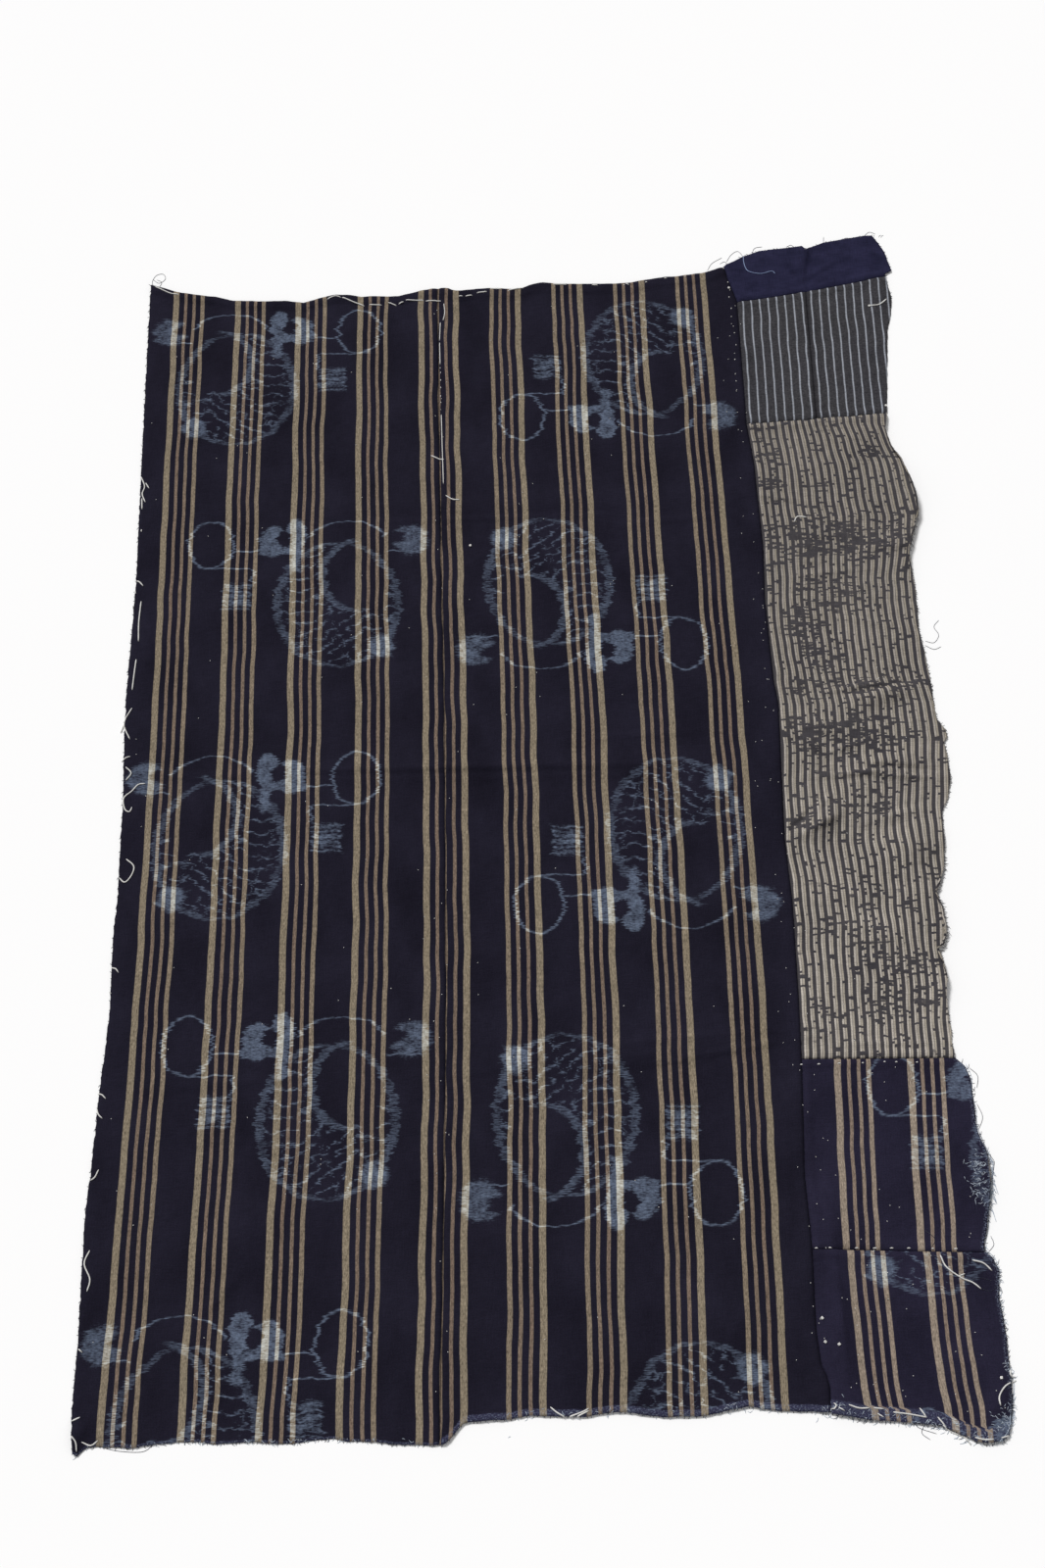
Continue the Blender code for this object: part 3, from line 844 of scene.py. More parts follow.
def worn_tan():
    """Pairs of tan lines on slate, with gaps where the tan has worn out."""
    cotton, across, up = start_cotton("worn_tan_cotton")
    wander = (speckle(across / 70.0, up / 50.0, 2.0) - 0.5) * 5.0
    warp = (across + wander) / STRIPE_PITCH
    place = (warp.part() - 0.5) * STRIPE_PITCH
    tan = (abs(place) - LINE_PLACE).near(LINE_HALF, 0.5).most(place.near(0.9, 0.3) * 0.5)
    frayed = speckle(across / 0.8, up / 1.1, 7.0, 2.0) * 1.9
    yarns = speckle(across / 0.5, up / 12.0, 8.0) * 0.8 + 0.62
    higher = up.over(330.0, 500.0)
    tan_colour = blend(higher, dye(190, 182, 172), dye(157, 150, 142))
    tan_colour = blend(place.over(0.0, 0.4) * 0.5, tan_colour, dye(150, 140, 120))
    slate = blend(speckle(across / 60.0, up / 60.0, 21.0), dye(59, 57, 62), dye(77, 74, 76))
    whole = tan * tan_left(across, up, warp) * frayed.least(1.0)
    woven = blend(whole, slate, tint(tan_colour, yarns))
    return finish_cotton(cotton, across, up, woven, slub=0.30)


indigo_cloth, pinstripe_cloth, worn_cloth = indigo(), pinstripe(), worn_tan()
print("made", indigo_cloth.name, pinstripe_cloth.name, worn_cloth.name)

# %% [markdown]
# ## The eight pieces of cloth
# Each entry names the four lines that a piece runs between, the sides that are sewn,
# and the map of its threads. The right-hand panel is the same cloth turned half a turn,
# as a maker does to use one length for both sides, so its map runs the other way.

# %% Thread maps of the panels
LEFT_BOW, RIGHT_BOW = 0.661, 0.513  # up, where each panel's figures are counted from
WIDER, LONGER = 1.02, 1.037         # how much further apart the right panel's threads lie


def left_panel_threads(x, y):
    """Stripes run up the seam, counted leftwards from it."""
    return along(CENTRE_SEAM, y) - x, y - LEFT_BOW


def right_panel_threads(x, y):
    """The same cloth turned half a turn and, as it lies, slightly stretched."""
    return (x - along(CENTRE_SEAM, y)) / WIDER, (RIGHT_BOW - y) / LONGER


# %% Thread maps of the patches
UPPER_BOW, FOOT_BOW = 0.046, 0.282  # up, as above, for the two lowest patches
LOWER_WIDTH = 0.3328  # these two start this far across the cloth they were cut from
UPPER_GRAIN = [(0.171, 0.2406), (0.229, 0.2429), (0.269, 0.2445), (0.350, 0.2487)]  # up, x
FOOT_GRAIN = [(0.030, 0.2486), (0.048, 0.2466), (0.072, 0.2451), (0.103, 0.2441), (0.167, 0.2448)]
FOOT_HEM = 0.0115     # height of the foot hem
HEM_SHIFT = 0.005     # how far the stripes jump where that hem turns back
WORN_START, WORN_WIDTH = 0.350, 0.165  # the worn patch's foot, and how wide it is
GREY_START = 1.083    # the grey patch's foot
WORN_BULGE = [  # up, how far the right edge pulls the yarns out
    (0.350, 0.000), (0.450, 0.002), (0.600, 0.006), (0.690, 0.012), (0.780, 0.005),
    (0.880, 0.005), (0.960, 0.015), (1.020, 0.010), (1.080, 0.000),
]


def lower_upper_threads(x, y):
    """An offcut of the panels' cloth, along its own grain."""
    return LOWER_WIDTH - (x - along(UPPER_GRAIN, y)), y - UPPER_BOW


def lower_foot_threads(x, y):
    """A second offcut, whose stripes jump at the fold of its hem."""
    turned = y - along(PATCH_FOOT, x) < FOOT_HEM
    return LOWER_WIDTH - (x - along(FOOT_GRAIN, y)) + HEM_SHIFT * turned, y - FOOT_BOW


def from_side_seam(x, y):
    """Yarns that start along the seam and are pulled out towards the free edge."""
    out = x - along(SIDE_SEAM, y)
    pulled = along(WORN_BULGE, y) * np.clip(out / WORN_WIDTH, 0, 1) ** 1.5
    return out - pulled, y - WORN_START


def from_grey_seam(x, y):
    """Pinstripes counted both ways from the upright seam."""
    return abs(x - along(GREY_SEAM, y)), y - GREY_START


def as_it_lies(x, y):
    """Plain cloth, so any map will do."""
    return x, y


# %% Lay the cloths
def between(left, right, foot, head):
    """The four edge lines of a piece."""
    return {"left": left, "right": right, "foot": foot, "head": head}


TORN = 0.0005  # how uneven a raw edge is
CURLED = [  # up, share that curls
    (0.35, 0.5), (0.40, 0.2), (0.45, 1.0), (0.53, 1.0), (0.56, 0.3), (0.70, 0.1),
    (0.85, 0.2), (0.90, 0.9), (1.00, 1.0), (1.07, 0.8), (1.10, 0.3),
]
panel_left = lay_sheet(
    "cloth_left", between(LEFT_EDGE, CENTRE_SEAM, LEFT_FOOT, HEAD_EDGE), (0.33, 1.27), ["right"],
    (0.0042, 0.0028), left_panel_threads, {"left": TORN, "foot": TORN, "head": 0.3 * TORN},
    [("head", 0.0100, 0.0016)], ripples=0.0004, turned_up=0.0022)
panel_right = lay_sheet(
    "cloth_right", between(CENTRE_SEAM, SIDE_SEAM, RIGHT_FOOT, HEAD_EDGE), (0.35, 1.26),
    ["left", "right"], (0.0042, 0.0028), right_panel_threads,
    {"foot": TORN, "head": 0.3 * TORN}, [("head", 0.0125, 0.0014), ("foot", 0.0060, 0.0010)],
    ripples=0.0004, turned_up=0.0060)
patch_indigo = lay_sheet(
    "cloth_indigo", between(SIDE_SEAM, FREE_EDGE, INDIGO_FOOT, PATCH_HEAD), (0.185, 0.07),
    ["left", "foot"], (0.0020, 0.0020), as_it_lies, {"right": TORN, "head": 0.4 * TORN})
patch_grey_left = lay_sheet(
    "cloth_grey_left", between(SIDE_SEAM, GREY_SEAM, GREY_FOOT, INDIGO_FOOT), (0.08, 0.17),
    ["left", "right", "foot", "head"], (0.0020, 0.0020), from_grey_seam)
patch_grey_right = lay_sheet(
    "cloth_grey_right", between(GREY_SEAM, FREE_EDGE, GREY_FOOT, INDIGO_FOOT), (0.09, 0.19),
    ["left", "foot", "head"], (0.0020, 0.0020), from_grey_seam, {"right": TORN})
patch_worn = lay_sheet(
    "cloth_worn", between(SIDE_SEAM, FREE_EDGE, WORN_FOOT, GREY_FOOT), (0.165, 0.74),
    ["left", "foot", "head"], (0.0020, 0.0022), from_side_seam, {"right": TORN},
    curl=(0.0070, 0.0022, CURLED), ripples=0.0009)
patch_lower_upper = lay_sheet(
    "cloth_lower_upper", between(SIDE_SEAM, FREE_EDGE, LOWER_SEAM, WORN_FOOT), (0.165, 0.18),
    ["left", "foot", "head"], (0.0022, 0.0022), lower_upper_threads, {"right": TORN})
patch_lower_foot = lay_sheet(
    "cloth_lower_foot", between(SIDE_SEAM, FREE_EDGE, PATCH_FOOT, LOWER_SEAM), (0.165, 0.16),
    ["left", "head"], (0.0022, 0.0022), lower_foot_threads, {"right": TORN, "foot": TORN},
    [("foot", 0.0120, 0.0012)], turned_up=0.0120)

# %% [markdown]
# ## Stitches and loose threads
# A sewn cloth is read by its threads: basting along the head, running stitches down
# the seam, ends left hanging and a fringe where the weft has worn out. Each is a thin
# tube that follows a few listed points. A downward ray finds the height of the
# cloth under every point, so the thread lies on it. All threads of one kind are joined
# in one mesh made from arrays.

# %% The height of the cloth
from mathutils import Vector
from mathutils.bvhtree import BVHTree

cloth_surfaces = []
for piece in (panel_left, panel_right, patch_indigo, patch_grey_left, patch_grey_right,
              patch_worn, patch_lower_upper, patch_lower_foot):
    corners = [vertex.co for vertex in piece.data.vertices]
    faces = [tuple(face.vertices) for face in piece.data.polygons]
    cloth_surfaces.append(BVHTree.FromPolygons(corners, faces))


def surface(x, y):
    """The height of the cloth or the table here, in the row frame."""
    found = [tree.ray_cast(Vector((x, y, 0.1)), Vector((0, 0, -1)))[0] for tree in cloth_surfaces]
    return max([hit.z for hit in found if hit is not None], default=0.0)


print(f"the centre of the cloth is {surface(0.0, 0.0) / MM:.1f} mm up")


# %% A smooth line, and a tube along it
def through(points, step=0.0022):
    """A smooth line through these points, with a point about every step."""
    points = np.array(points, float)
    if len(points) == 2:
        points = np.stack([points[0], points.mean(axis=0), points[1]])
    ends = np.concatenate([[2 * points[0] - points[1]], points, [2 * points[-1] - points[-2]]])
    line = []
    for i in range(len(points) - 1):
        p0, p1, p2, p3 = ends[i:i + 4]
        count = max(1, round(np.linalg.norm(p2 - p1) / step))
        for t in np.arange(count) / count:
            line.append(0.5 * (2 * p1 + (p2 - p0) * t + (2 * p0 - 5 * p1 + 4 * p2 - p3) * t * t
                               + (3 * p1 - p0 - 3 * p2 + p3) * t ** 3))
    return np.array(line + [points[-1]])


def tube(line, radius, sides=5):
    """Corners and faces of a closed tube along a line that lies about level."""
    heading = np.gradient(line, axis=0)
    heading /= np.linalg.norm(heading, axis=1)[:, None] + 1e-9
    level = np.cross(heading, [0.0, 0.0, 1.0])
    level /= np.linalg.norm(level, axis=1)[:, None] + 1e-9
    up = np.cross(level, heading)
    turns = np.arange(sides) * 2 * np.pi / sides
    spokes = level[:, None] * np.cos(turns)[:, None] + up[:, None] * np.sin(turns)[:, None]
    taper = np.ones(len(line))
    taper[[0, -1]] = 0.55
    corners = line[:, None] + spokes * radius * taper[:, None, None]
    faces = []
    for i in range(len(line) - 1):
        for j in range(sides):
            k = (j + 1) % sides
            faces.append((i * sides + j, (i + 1) * sides + j, (i + 1) * sides + k, i * sides + k))
    faces.append(tuple(range(sides)))
    faces.append(tuple(reversed(range((len(line) - 1) * sides, len(line) * sides))))
    return corners.reshape(-1, 3), faces


# %% Many threads in one mesh
def threads(name, paths, radius, material, held_down=True, lift=0.0):
    """One mesh of many threads. Paths are points in millimetres from the foot: x, up.

    A thread that is held down dips into the cloth at both ends, as a stitch does.
    """
    corners, faces = [], []
    count = 0
    for path in paths:
        line = through([(x * MM - MIDDLE[0], y * MM - MIDDLE[1]) for x, y in path])
        if len(line) < 3:
            line = np.stack([line[0], (line[0] + line[-1]) / 2, line[-1]])
        height = np.array([surface(x, y) for x, y in line]) + radius * 0.7 + lift
        if held_down:
            height[[0, -1]] -= radius * 1.2
        points, quads = tube(np.column_stack([line, np.maximum(height, radius * 0.6)]), radius)
        corners.append(points)
        faces += [tuple(count + i for i in quad) for quad in quads]
        count += len(points)
    made = mesh_from(name, np.concatenate(corners), faces)
    made.data.materials.append(material)
    only(made)
    bpy.ops.object.shade_smooth()
    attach(made, "root")
    print(f"{name}: {len(paths)} threads, {len(made.data.polygons)} faces")
    return made


# %% [markdown]
# ### Yarn
# Cotton sewing yarn is two plies twisted together. At this size the twist is a fine
# bump, and the colour varies a little along it, greyer where it is handled.

# %% Yarn material
def yarn(name, clean, soiled):
    """A twisted cotton thread, read in millimetres of object coordinates."""
    made = bpy.data.materials.new(name)
    made.use_nodes = True
    tree = made.node_tree
    shader = tree.nodes["Principled BSDF"]
    where = tree.nodes.new("ShaderNodeTexCoord")
    split = tree.nodes.new("ShaderNodeSeparateXYZ")
    tree.links.new(where.outputs["Object"], split.inputs[0])
    x, y = Num(tree, split.outputs[0]) * 1000.0, Num(tree, split.outputs[1]) * 1000.0
    soil = speckle(x / 6.0, y / 6.0, 3.0, 3.0)
    colour = blend((soil * 2.0 - 0.5).held(), soiled, clean)
    tree.links.new(colour, shader.inputs["Base Color"])
    twist = (((x + y) / 0.55 * math.pi).wave()) + speckle(x / 0.3, y / 0.3, 5.0)
    tree.links.new(bump_from(twist, 0.4, 0.0002).outputs[0], shader.inputs["Normal"])
    shader.inputs["Roughness"].default_value = 0.85
    shader.inputs["Specular IOR Level"].default_value = 0.15
    shader.inputs["Sheen Weight"].default_value = 0.2
    return made


white_yarn = yarn("white_sewing_yarn", dye(244, 242, 238), dye(205, 204, 200))
navy_yarn = yarn("navy_yarn", dye(44, 46, 66), dye(26, 26, 38))
slate_yarn = yarn("slate_yarn", dye(128, 124, 124), dye(72, 71, 78))
pale_blue_yarn = yarn("pale_blue_yarn", dye(206, 214, 224), dye(150, 164, 182))
light_blue_yarn = yarn("light_blue_yarn", dye(150, 168, 204), dye(112, 128, 166))

# %% [markdown]
# ### White sewing
# Basting is long stitches with short gaps, running stitches are short and even, and
# picks are where a hidden stitch just shows. The basting along the head is so uneven
# that each stitch is listed one by one. The other rows are dashes along a line of points,
# each row with its own length and gap.

# %% Stitches
def dashes(points, on, off, seed, sway):
    """A row of stitches along a line: length on, length off, in millimetres."""
    dice = random.Random(seed)
    points = np.array(points, float)
    steps = np.concatenate([[0], np.cumsum(np.linalg.norm(np.diff(points, axis=0), axis=1))])
    rows, place = [], 0.0
    while place < steps[-1]:
        end = min(steps[-1], place + on * dice.uniform(0.6, 1.3))
        shift = dice.uniform(-sway, sway)
        middle = (place + end) / 2
        rows.append([(np.interp(t, steps, points[:, 0]) + shift * dice.uniform(0.2, 1),
                      np.interp(t, steps, points[:, 1]) + shift * dice.uniform(0.2, 1))
                     for t in (place, middle, end)])
        place = end + off * dice.uniform(0.6, 1.5)
    return rows


HEAD_BASTING = [
    [(-424, 1288), (-408, 1279), (-396, 1276)], [(-225, 1266), (-216, 1270), (-209, 1268)],
    [(-208, 1268), (-196, 1262), (-182, 1256)], [(-177, 1258), (-162, 1257)],
    [(-155, 1260), (-145, 1256)], [(-143, 1258), (-137, 1261)],
    [(-135, 1263), (-114, 1263)], [(-112, 1262), (-94, 1261)],
    [(-74, 1267), (-69, 1267)], [(-66, 1267), (-58, 1268)], [(-53, 1271), (-41, 1273)],
    [(-37, 1277), (-25, 1276)], [(-17, 1274), (-3, 1277)], [(-1, 1277), (3, 1279)],
    [(35, 1282), (51, 1281)], [(80, 1280), (87, 1279)], [(119, 1281), (123, 1279)],
    [(164, 1288), (167, 1288)],
]
SEAM_THREAD = [
    [(-91, 1258), (-90, 1244), (-92, 1233)], [(-95, 1231), (-96, 1205)], [(-96, 1203), (-95.5, 1172)],
    [(-94.5, 1104), (-94, 1082), (-93.6, 1060), (-93, 1036), (-92.5, 1012)],
]
SEWN_ROWS = [  # points, length on, length off, seed, sway
    ([(10, 1283), (70, 1280), (122, 1279), (175, 1286), (228, 1298)], 2.2, 30, 2, 1.0),
    ([(-95.5, 1168), (-94.5, 1110)], 2.2, 6.0, 3, 0.5),
    ([(233, 1301), (238, 1275), (238, 1240), (241, 1200), (238, 1160), (236, 1120)],
     1.3, 13, 5, 1.2),
    ([(245, 346), (300, 347), (372, 346)], 2.6, 15, 6, 0.7),
    ([(245, 172), (300, 171), (392, 168)], 3.2, 15, 7, 0.7),
]
stitches = list(HEAD_BASTING)
for row in SEWN_ROWS:
    stitches += dashes(*row)
white_stitches = threads("white_stitches", stitches, 0.00065, white_yarn)
seam_thread = threads("seam_thread", SEAM_THREAD, 0.00048, white_yarn)

# %% [markdown]
# ### White ends
# The left edge was once sewn to something and unpicked, so bits of its thread still
# hang there in loops and hooks. Others lie loose near the foot.

# %% Loose white threads
LEFT_ENDS = [
    [(-425, 1029), (-420, 1016), (-422, 1006), (-418, 995)], [(-419, 1020), (-415, 1013)],
    [(-422, 1000), (-421, 986)], [(-420, 960), (-420, 957)], [(-422, 896), (-418, 894), (-414, 889)],
    [(-423, 884), (-421, 880)], [(-415, 870), (-416, 845), (-415, 822)], [(-424, 866), (-423, 862)],
    [(-416, 800), (-417, 784), (-418, 764)], [(-417, 743), (-424, 725), (-417, 707)],
    [(-424, 725), (-427, 715)], [(-415, 687), (-419, 686), (-424, 682)],
    [(-419, 675), (-413, 668), (-418, 660)],
    [(-398, 656), (-405, 655), (-411, 648), (-419, 640), (-417, 628), (-412, 625), (-410, 630)],
    [(-412, 573), (-404, 565), (-406, 555), (-412, 548), (-418, 553)],
    [(-419, 458), (-415, 457), (-412, 453)], [(-420, 434), (-418, 432)],
    [(-424, 332), (-420, 331), (-416, 327)], [(-424, 318), (-422, 312), (-418, 308)],
    [(-418, 259), (-421, 252), (-425, 249)], [(-421, 184), (-425, 172), (-419, 158), (-421, 147)],
    [(-426, 97), (-421, 93)], [(-419, 37), (-426, 34)], [(-426, 22), (-421, 16), (-420, 8)],
    [(-416, 16), (-408, 13), (-402, 17)],
]
OTHER_ENDS = [
    [(-90, 996), (-83, 991), (-75, 990)], [(-106, 1049), (-99, 1045), (-92, 1043)],
    [(288, 954), (292, 961), (302, 960)], [(397, 1242), (408, 1243), (418, 1252)],
    [(359, 163), (364, 152), (377, 142), (386, 138), (393, 132)], [(374, 144), (380, 146)],
    [(415, 51), (404, 46), (397, 37), (397, 29)], [(411, 66), (410, 55), (415, 54)],
    [(-2, 37), (4, 32), (11, 28)], [(32, 35), (26, 32), (14, 28)], [(32, 33), (21, 28)],
    [(263, 33), (272, 30), (281, 30)], [(285, 30), (294, 29)], [(302, 26), (316, 24), (331, 21)],
    [(288, 25), (293, 22)], [(341, 21), (347, 13)], [(345, 14), (353, 8), (364, 3), (368, -3)],
    [(372, 3), (380, 1), (388, 1)], [(395, 2), (403, 4)], [(250, 35), (252, 33), (250, 30), (247, 30)],
    [(254, 31), (259, 28)], [(326, 29), (331, 21)], [(388, 158), (398, 155), (405, 148)],
]
loose_white = threads("loose_white_threads", LEFT_ENDS + OTHER_ENDS, 0.00070, white_yarn,
                      held_down=False)

# %% [markdown]
# ### Knots and lint
# A knot is a thread wound on itself, drawn as a tight curl. Lint is the same thing
# far smaller: a scatter of fine short curls, thick near the edges and thin elsewhere.

# %% Knots and lint
def curls(centres, size, seed):
    """Small tight curls of thread about these places, in millimetres."""
    dice = random.Random(seed)
    rows = []
    for x, y in centres:
        start = dice.uniform(0, 6.3)
        rows.append([(x + size * (0.4 + 0.12 * i) * math.cos(start + 1.5 * i),
                      y + size * (0.4 + 0.12 * i) * math.sin(start + 1.5 * i)) for i in range(6)])
    return rows


KNOTS = [(401, 53), (397, 1242), (403, 1105), (238, 1272), (-64, 932), (246, 109), (247, 88), (259, 85)]
knots = threads("white_knots", curls(KNOTS, 1.3, 21), 0.0008, white_yarn, False, 0.0003)
dice = random.Random(5)
SPECKS = [(dice.uniform(-418, 236), dice.uniform(45, 1255)) for _ in range(150)]
SPECKS += [(dice.gauss(243, 9), dice.uniform(60, 1280)) for _ in range(70)]
SPECKS += [(dice.uniform(252, 405), dice.uniform(25, 345)) for _ in range(60)]
SPECKS += [(dice.uniform(252, 395), dice.uniform(360, 1080)) for _ in range(30)]
SPECKS += [(-96 + dice.gauss(0, 6), dice.uniform(40, 1270)) for _ in range(25)]
lint_paths = curls(SPECKS, 0.6, 22)
lint = threads("lint", [path[:4] for path in lint_paths], 0.00030, white_yarn, False)

# %% [markdown]
# ### Fringes
# Along the worn patch's raw edge the upright yarns have dropped out, and the level
# ones stand out as a comb. Cut ends of navy do the same, more sparsely, along the
# foot, the head and the two lowest patches, and pale blue ends are thick at the corners
# of those patches. Each thread starts just inside the edge and runs out over the
# table, a little longer or shorter than the last.

# %% Fringe builder
def comb(line, out, start, stop, spacing, reach, seed, lean):
    """Short threads standing out from an edge given as points: along, at. out says which way."""
    dice = random.Random(seed)
    way = 1 if out in ("right", "up") else -1
    rows, place = [], start
    while place < stop:
        at = float(along(line, place * MM)) / MM
        far = dice.uniform(0.35, 1.0) * reach
        slip = dice.gauss(0, lean) * far
        row = [(at - way * 1.5, place), (at + way * far * 0.55, place + slip * 0.3),
               (at + way * far, place + slip)]
        if out in ("up", "down"):
            row = [(y, x) for x, y in row]
        rows.append(row)
        place += spacing * dice.uniform(0.5, 1.5)
    return rows


def combs(table):
    """The threads of several combs, one after another."""
    rows = []
    for entry in table:
        rows += comb(*entry)
    return rows


def rim_of(piece, step=0.003):
    """How far right a piece really reaches, as a table of up and x."""
    places = np.array([vertex.co[:2] for vertex in piece.data.vertices]) + MIDDLE
    ups = np.arange(places[:, 1].min(), places[:, 1].max(), step)
    table = []
    for up in ups:
        near = places[abs(places[:, 1] - up) < step, 0]
        if len(near):
            table.append((up, near.max()))
    return table


# %% The worn patch's comb
WORN_RIM = rim_of(patch_worn)
slate_rows = combs([  # line, which way, start, stop, spacing, reach, seed, lean
    (WORN_RIM, "right", 455, 560, 1.3, 5.0, 31, 0.45),
    (WORN_RIM, "right", 560, 700, 2.4, 2.6, 32, 0.7),
    (WORN_RIM, "right", 700, 860, 2.2, 2.8, 33, 0.7),
    (WORN_RIM, "right", 860, 1050, 2.2, 2.6, 34, 0.7),
    (WORN_RIM, "right", 354, 455, 3.6, 2.5, 35, 0.5),
])
worn_fringe = threads("worn_fringe", slate_rows, 0.00022, slate_yarn, False)

# %% Navy fray
navy_rows = combs([  # line, which way, start, stop, spacing, reach, seed, lean
    (FREE_EDGE, "right", 10, 350, 3.2, 3.5, 41, 1.1),
    (FREE_EDGE, "right", 1255, 1345, 4.0, 2.5, 42, 0.5),
    (LEFT_FOOT, "down", -424, -101, 3.6, 2.4, 43, 0.8),
    (RIGHT_FOOT, "down", -98, 240, 5.0, 1.8, 44, 0.5),
    (PATCH_FOOT, "down", 240, 402, 3.2, 3.5, 45, 1.1),
    (HEAD_EDGE, "up", -428, 230, 7.0, 2.0, 46, 0.9),
    (PATCH_HEAD, "up", 240, 425, 4.0, 2.6, 47, 0.9),
    (LEFT_EDGE, "left", 10, 1285, 9.0, 2.0, 48, 0.9),
])
NAVY_ENDS = [
    [(-424, 1286), (-428, 1296), (-424, 1306), (-416, 1308), (-413, 1301), (-420, 1295),
     (-427, 1300)],
    [(-420, 1288), (-417, 1296), (-423, 1300)], [(-427, 1289), (-432, 1294)],
    [(258, 1319), (252, 1327), (244, 1322), (238, 1312)], [(268, 1322), (272, 1331), (281, 1333)],
    [(401, 1346), (408, 1352), (415, 1349)], [(240, 1304), (236, 1312), (230, 1309)],
    [(415, 805), (424, 803), (430, 812), (426, 822), (432, 830)], [(414, 800), (423, 795), (431, 798)],
    [(352, 170), (356, 178), (348, 186)], [(393, 132), (402, 130), (410, 136)],
    [(380, 138), (392, 142), (404, 139)], [(404, 165), (410, 172), (408, 180)],
    [(407, 340), (414, 332), (412, 320)], [(330, 16), (326, 8), (333, 2)],
    [(409, 280), (414, 292), (410, 305)], [(-414, 11), (-402, 12), (-384, 8), (-362, 7), (-352, 14)],
    [(319, 21), (323, 13), (339, 7)], [(309, 1332), (315, 1335), (318, 1331)], [(354, 1346), (353, 1337)],
    [(374, 1340), (380, 1344), (386, 1341)],
    [(406, 322), (407, 299), (409, 278), (415, 259), (420, 249)],
    [(420, 249), (416, 232), (414, 218)], [(215, 1300), (221, 1310), (233, 1318)],
]
navy_fray = threads("navy_fray", navy_rows + NAVY_ENDS, 0.00024, navy_yarn, False)

# %% Pale blue fray
blue_rows = combs([  # line, which way, start, stop, spacing, reach, seed, lean
    (FREE_EDGE, "right", 205, 258, 0.9, 6.0, 51, 1.2),
    (FREE_EDGE, "right", 10, 40, 1.1, 5.0, 52, 1.2),
    (FREE_EDGE, "right", 100, 170, 2.2, 4.0, 53, 1.2),
    (PATCH_FOOT, "down", 240, 400, 4.0, 4.5, 54, 1.2),
    (RIGHT_FOOT, "down", -95, 235, 9.0, 3.0, 55, 1.0),
    (LEFT_FOOT, "down", -420, -105, 9.0, 3.0, 56, 1.0),
])
blue_rows += [
    [(404, 344), (408, 331), (407, 315), (409, 298)], [(409, 300), (408, 284), (412, 268), (416, 256)],
    [(414, 262), (418, 246), (415, 231), (412, 214)], [(412, 218), (409, 202), (407, 188), (402, 172)],
    [(401, 168), (409, 160), (412, 148), (410, 136)], [(410, 60), (413, 48), (410, 34), (408, 20)],
    [(406, 22), (402, 8), (392, -2)],
]


def tufts(places, length, seed):
    """Short loose threads, in millimetres, scattered about the places of a table."""
    dice = random.Random(seed)
    rows = []
    for x, up, wide, tall, count in places:
        for _ in range(count):
            cx, cy = x + dice.gauss(0, wide), up + dice.gauss(0, tall)
            turn, reach = dice.gauss(0, 0.8), length * dice.uniform(0.4, 1.0)
            dx, dy = reach * math.cos(turn) / 2, reach * math.sin(turn) / 2
            bend = dice.uniform(-0.35, 0.35) * reach
            rows.append([(cx - dx, cy - dy), (cx, cy + bend), (cx + dx, cy + dy)])
    return rows


TUFTS = [  # x, up, spread across, spread up, how many
    (403, 242, 5, 9, 55), (402, 218, 4, 9, 30), (411, 60, 2.5, 6, 22), (399, 16, 6, 7, 40),
    (252, 31, 6, 3, 16), (290, 24, 18, 2.5, 26), (335, 15, 14, 3, 26), (378, 3, 12, 2.5, 18),
    (10, 31, 40, 1.6, 20), (160, 31, 20, 1.8, 12), (-250, 13, 90, 0.8, 34),
]
blue_rows += tufts(TUFTS, 5.0, 57)
blue_fray = threads("pale_blue_fray", blue_rows, 0.00026, pale_blue_yarn, False)
BLUE_END = [[(258, 1320), (258, 1308), (262, 1297), (276, 1293), (289, 1296), (293, 1292)]]
blue_end = threads("blue_end", BLUE_END, 0.00045, light_blue_yarn, False)

# %% [markdown]
# ## Floor, light and camera
# The cloth lies on a plain pale table. A soft sky fills every shadow and one broad
# lamp from the upper left gives the folds their shading. The camera stands on the foot
# side and looks down at about sixty-five degrees below level.

# %% Table top
bpy.ops.object.select_all(action="DESELECT")
bpy.ops.mesh.primitive_plane_add(size=8.0, location=(0, 0, 0))
table_top = bpy.context.object
table_top.name = "table_top"
card = bpy.data.materials.new("pale_card")
card.use_nodes = True
card_shader = card.node_tree.nodes["Principled BSDF"]
card_shader.inputs["Base Color"].default_value = (0.93, 0.925, 0.925, 1)
card_shader.inputs["Roughness"].default_value = 1.0
card_shader.inputs["Specular IOR Level"].default_value = 0.0
table_top.data.materials.append(card)

# %% Light
sky = bpy.data.worlds.new("soft_sky")
sky.use_nodes = True
sky.node_tree.nodes["Background"].inputs["Color"].default_value = (1.0, 1.0, 1.0, 1)
sky.node_tree.nodes["Background"].inputs["Strength"].default_value = 0.41
bpy.context.scene.world = sky

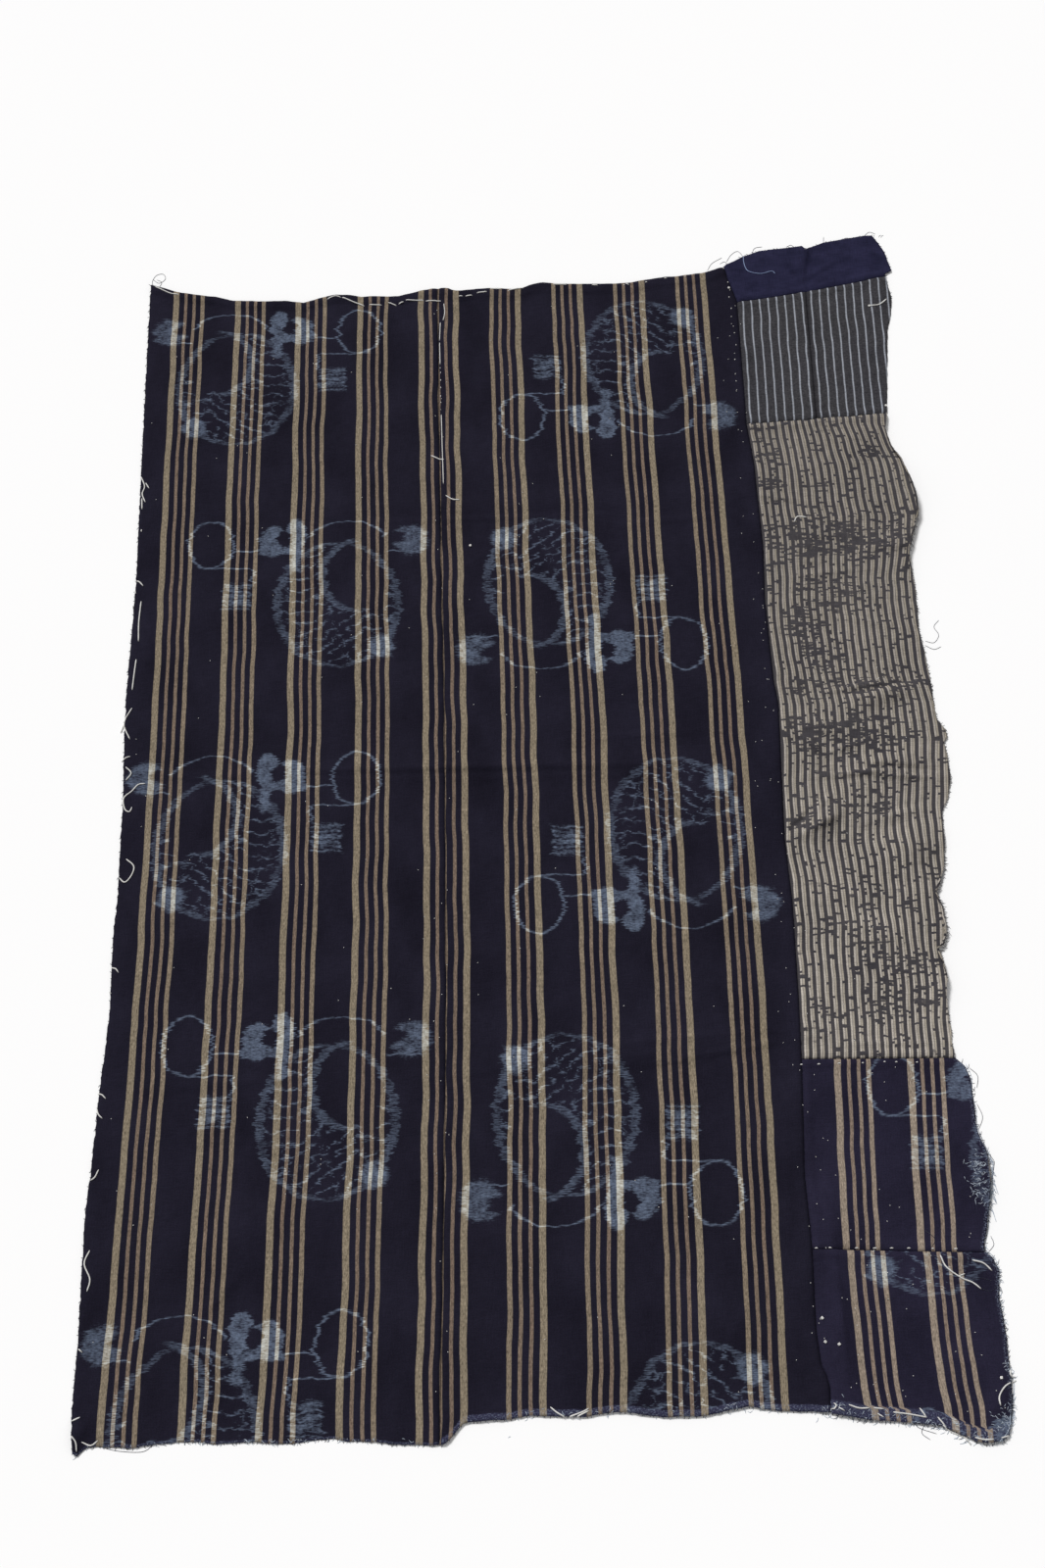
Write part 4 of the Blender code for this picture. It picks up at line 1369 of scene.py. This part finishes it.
lamp_data = bpy.data.lights.new("broad_lamp", "SUN")
lamp_data.energy = 2.80
lamp_data.angle = math.radians(16)
lamp = bpy.data.objects.new("broad_lamp", lamp_data)
lamp.rotation_euler = (math.radians(-34), math.radians(-29), 0)
bpy.context.scene.collection.objects.link(lamp)

# %% Camera
eye_data = bpy.data.cameras.new("eye")
eye_data.lens = 45.0
eye_data.sensor_width = 36.0
eye = bpy.data.objects.new("eye", eye_data)
eye.location = (-0.0309, -0.8639, 1.8154)
DOWN, ASIDE = 65.2, 1.23  # degrees below level, and from straight up the cloth
eye.rotation_euler = (math.radians(90 - DOWN), 0, math.radians(-ASIDE))
bpy.context.scene.collection.objects.link(eye)
bpy.context.scene.camera = eye
bpy.context.scene.view_settings.view_transform = "Standard"
bpy.context.scene.view_settings.look = "None"
print("camera at", tuple(round(place, 3) for place in eye.location))

# %% [markdown]
# ## What each piece stands for
# Every sheet rides on the one body and takes the place of its CAD solid. Its table
# entry also gives the size of its cloth laid flat, without the allowances turned under at its seams.

# %% Put the pieces on the body
CLOTHS = [  # piece, node, slot, cloth, flat size in metres, flat area in square metres
    (panel_left, "panel_left", "kasuri_cotton", kasuri_cloth, (0.336, 1.285), 0.414),
    (panel_right, "panel_right", "kasuri_cotton", kasuri_cloth, (0.355, 1.285), 0.434),
    (patch_indigo, "patch_indigo", "indigo_cotton", indigo_cloth, (0.190, 0.095), 0.0120),
    (patch_grey_left, "patch_grey_left", "pinstripe_cotton", pinstripe_cloth,
     (0.083, 0.184), 0.0140),
    (patch_grey_right, "patch_grey_right", "pinstripe_cotton", pinstripe_cloth,
     (0.100, 0.196), 0.0166),
    (patch_worn, "patch_worn", "worn_tan_cotton", worn_cloth, (0.182, 0.745), 0.120),
    (patch_lower_upper, "patch_lower_upper", "kasuri_cotton", less_worn_kasuri,
     (0.172, 0.188), 0.0303),
    (patch_lower_foot, "patch_lower_foot", "kasuri_cotton", less_worn_kasuri,
     (0.168, 0.170), 0.0262),
]
for piece, node, slot, cloth, flat, area in CLOTHS:
    piece.data.materials.append(cloth)
    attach(piece, "root")
    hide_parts(node)
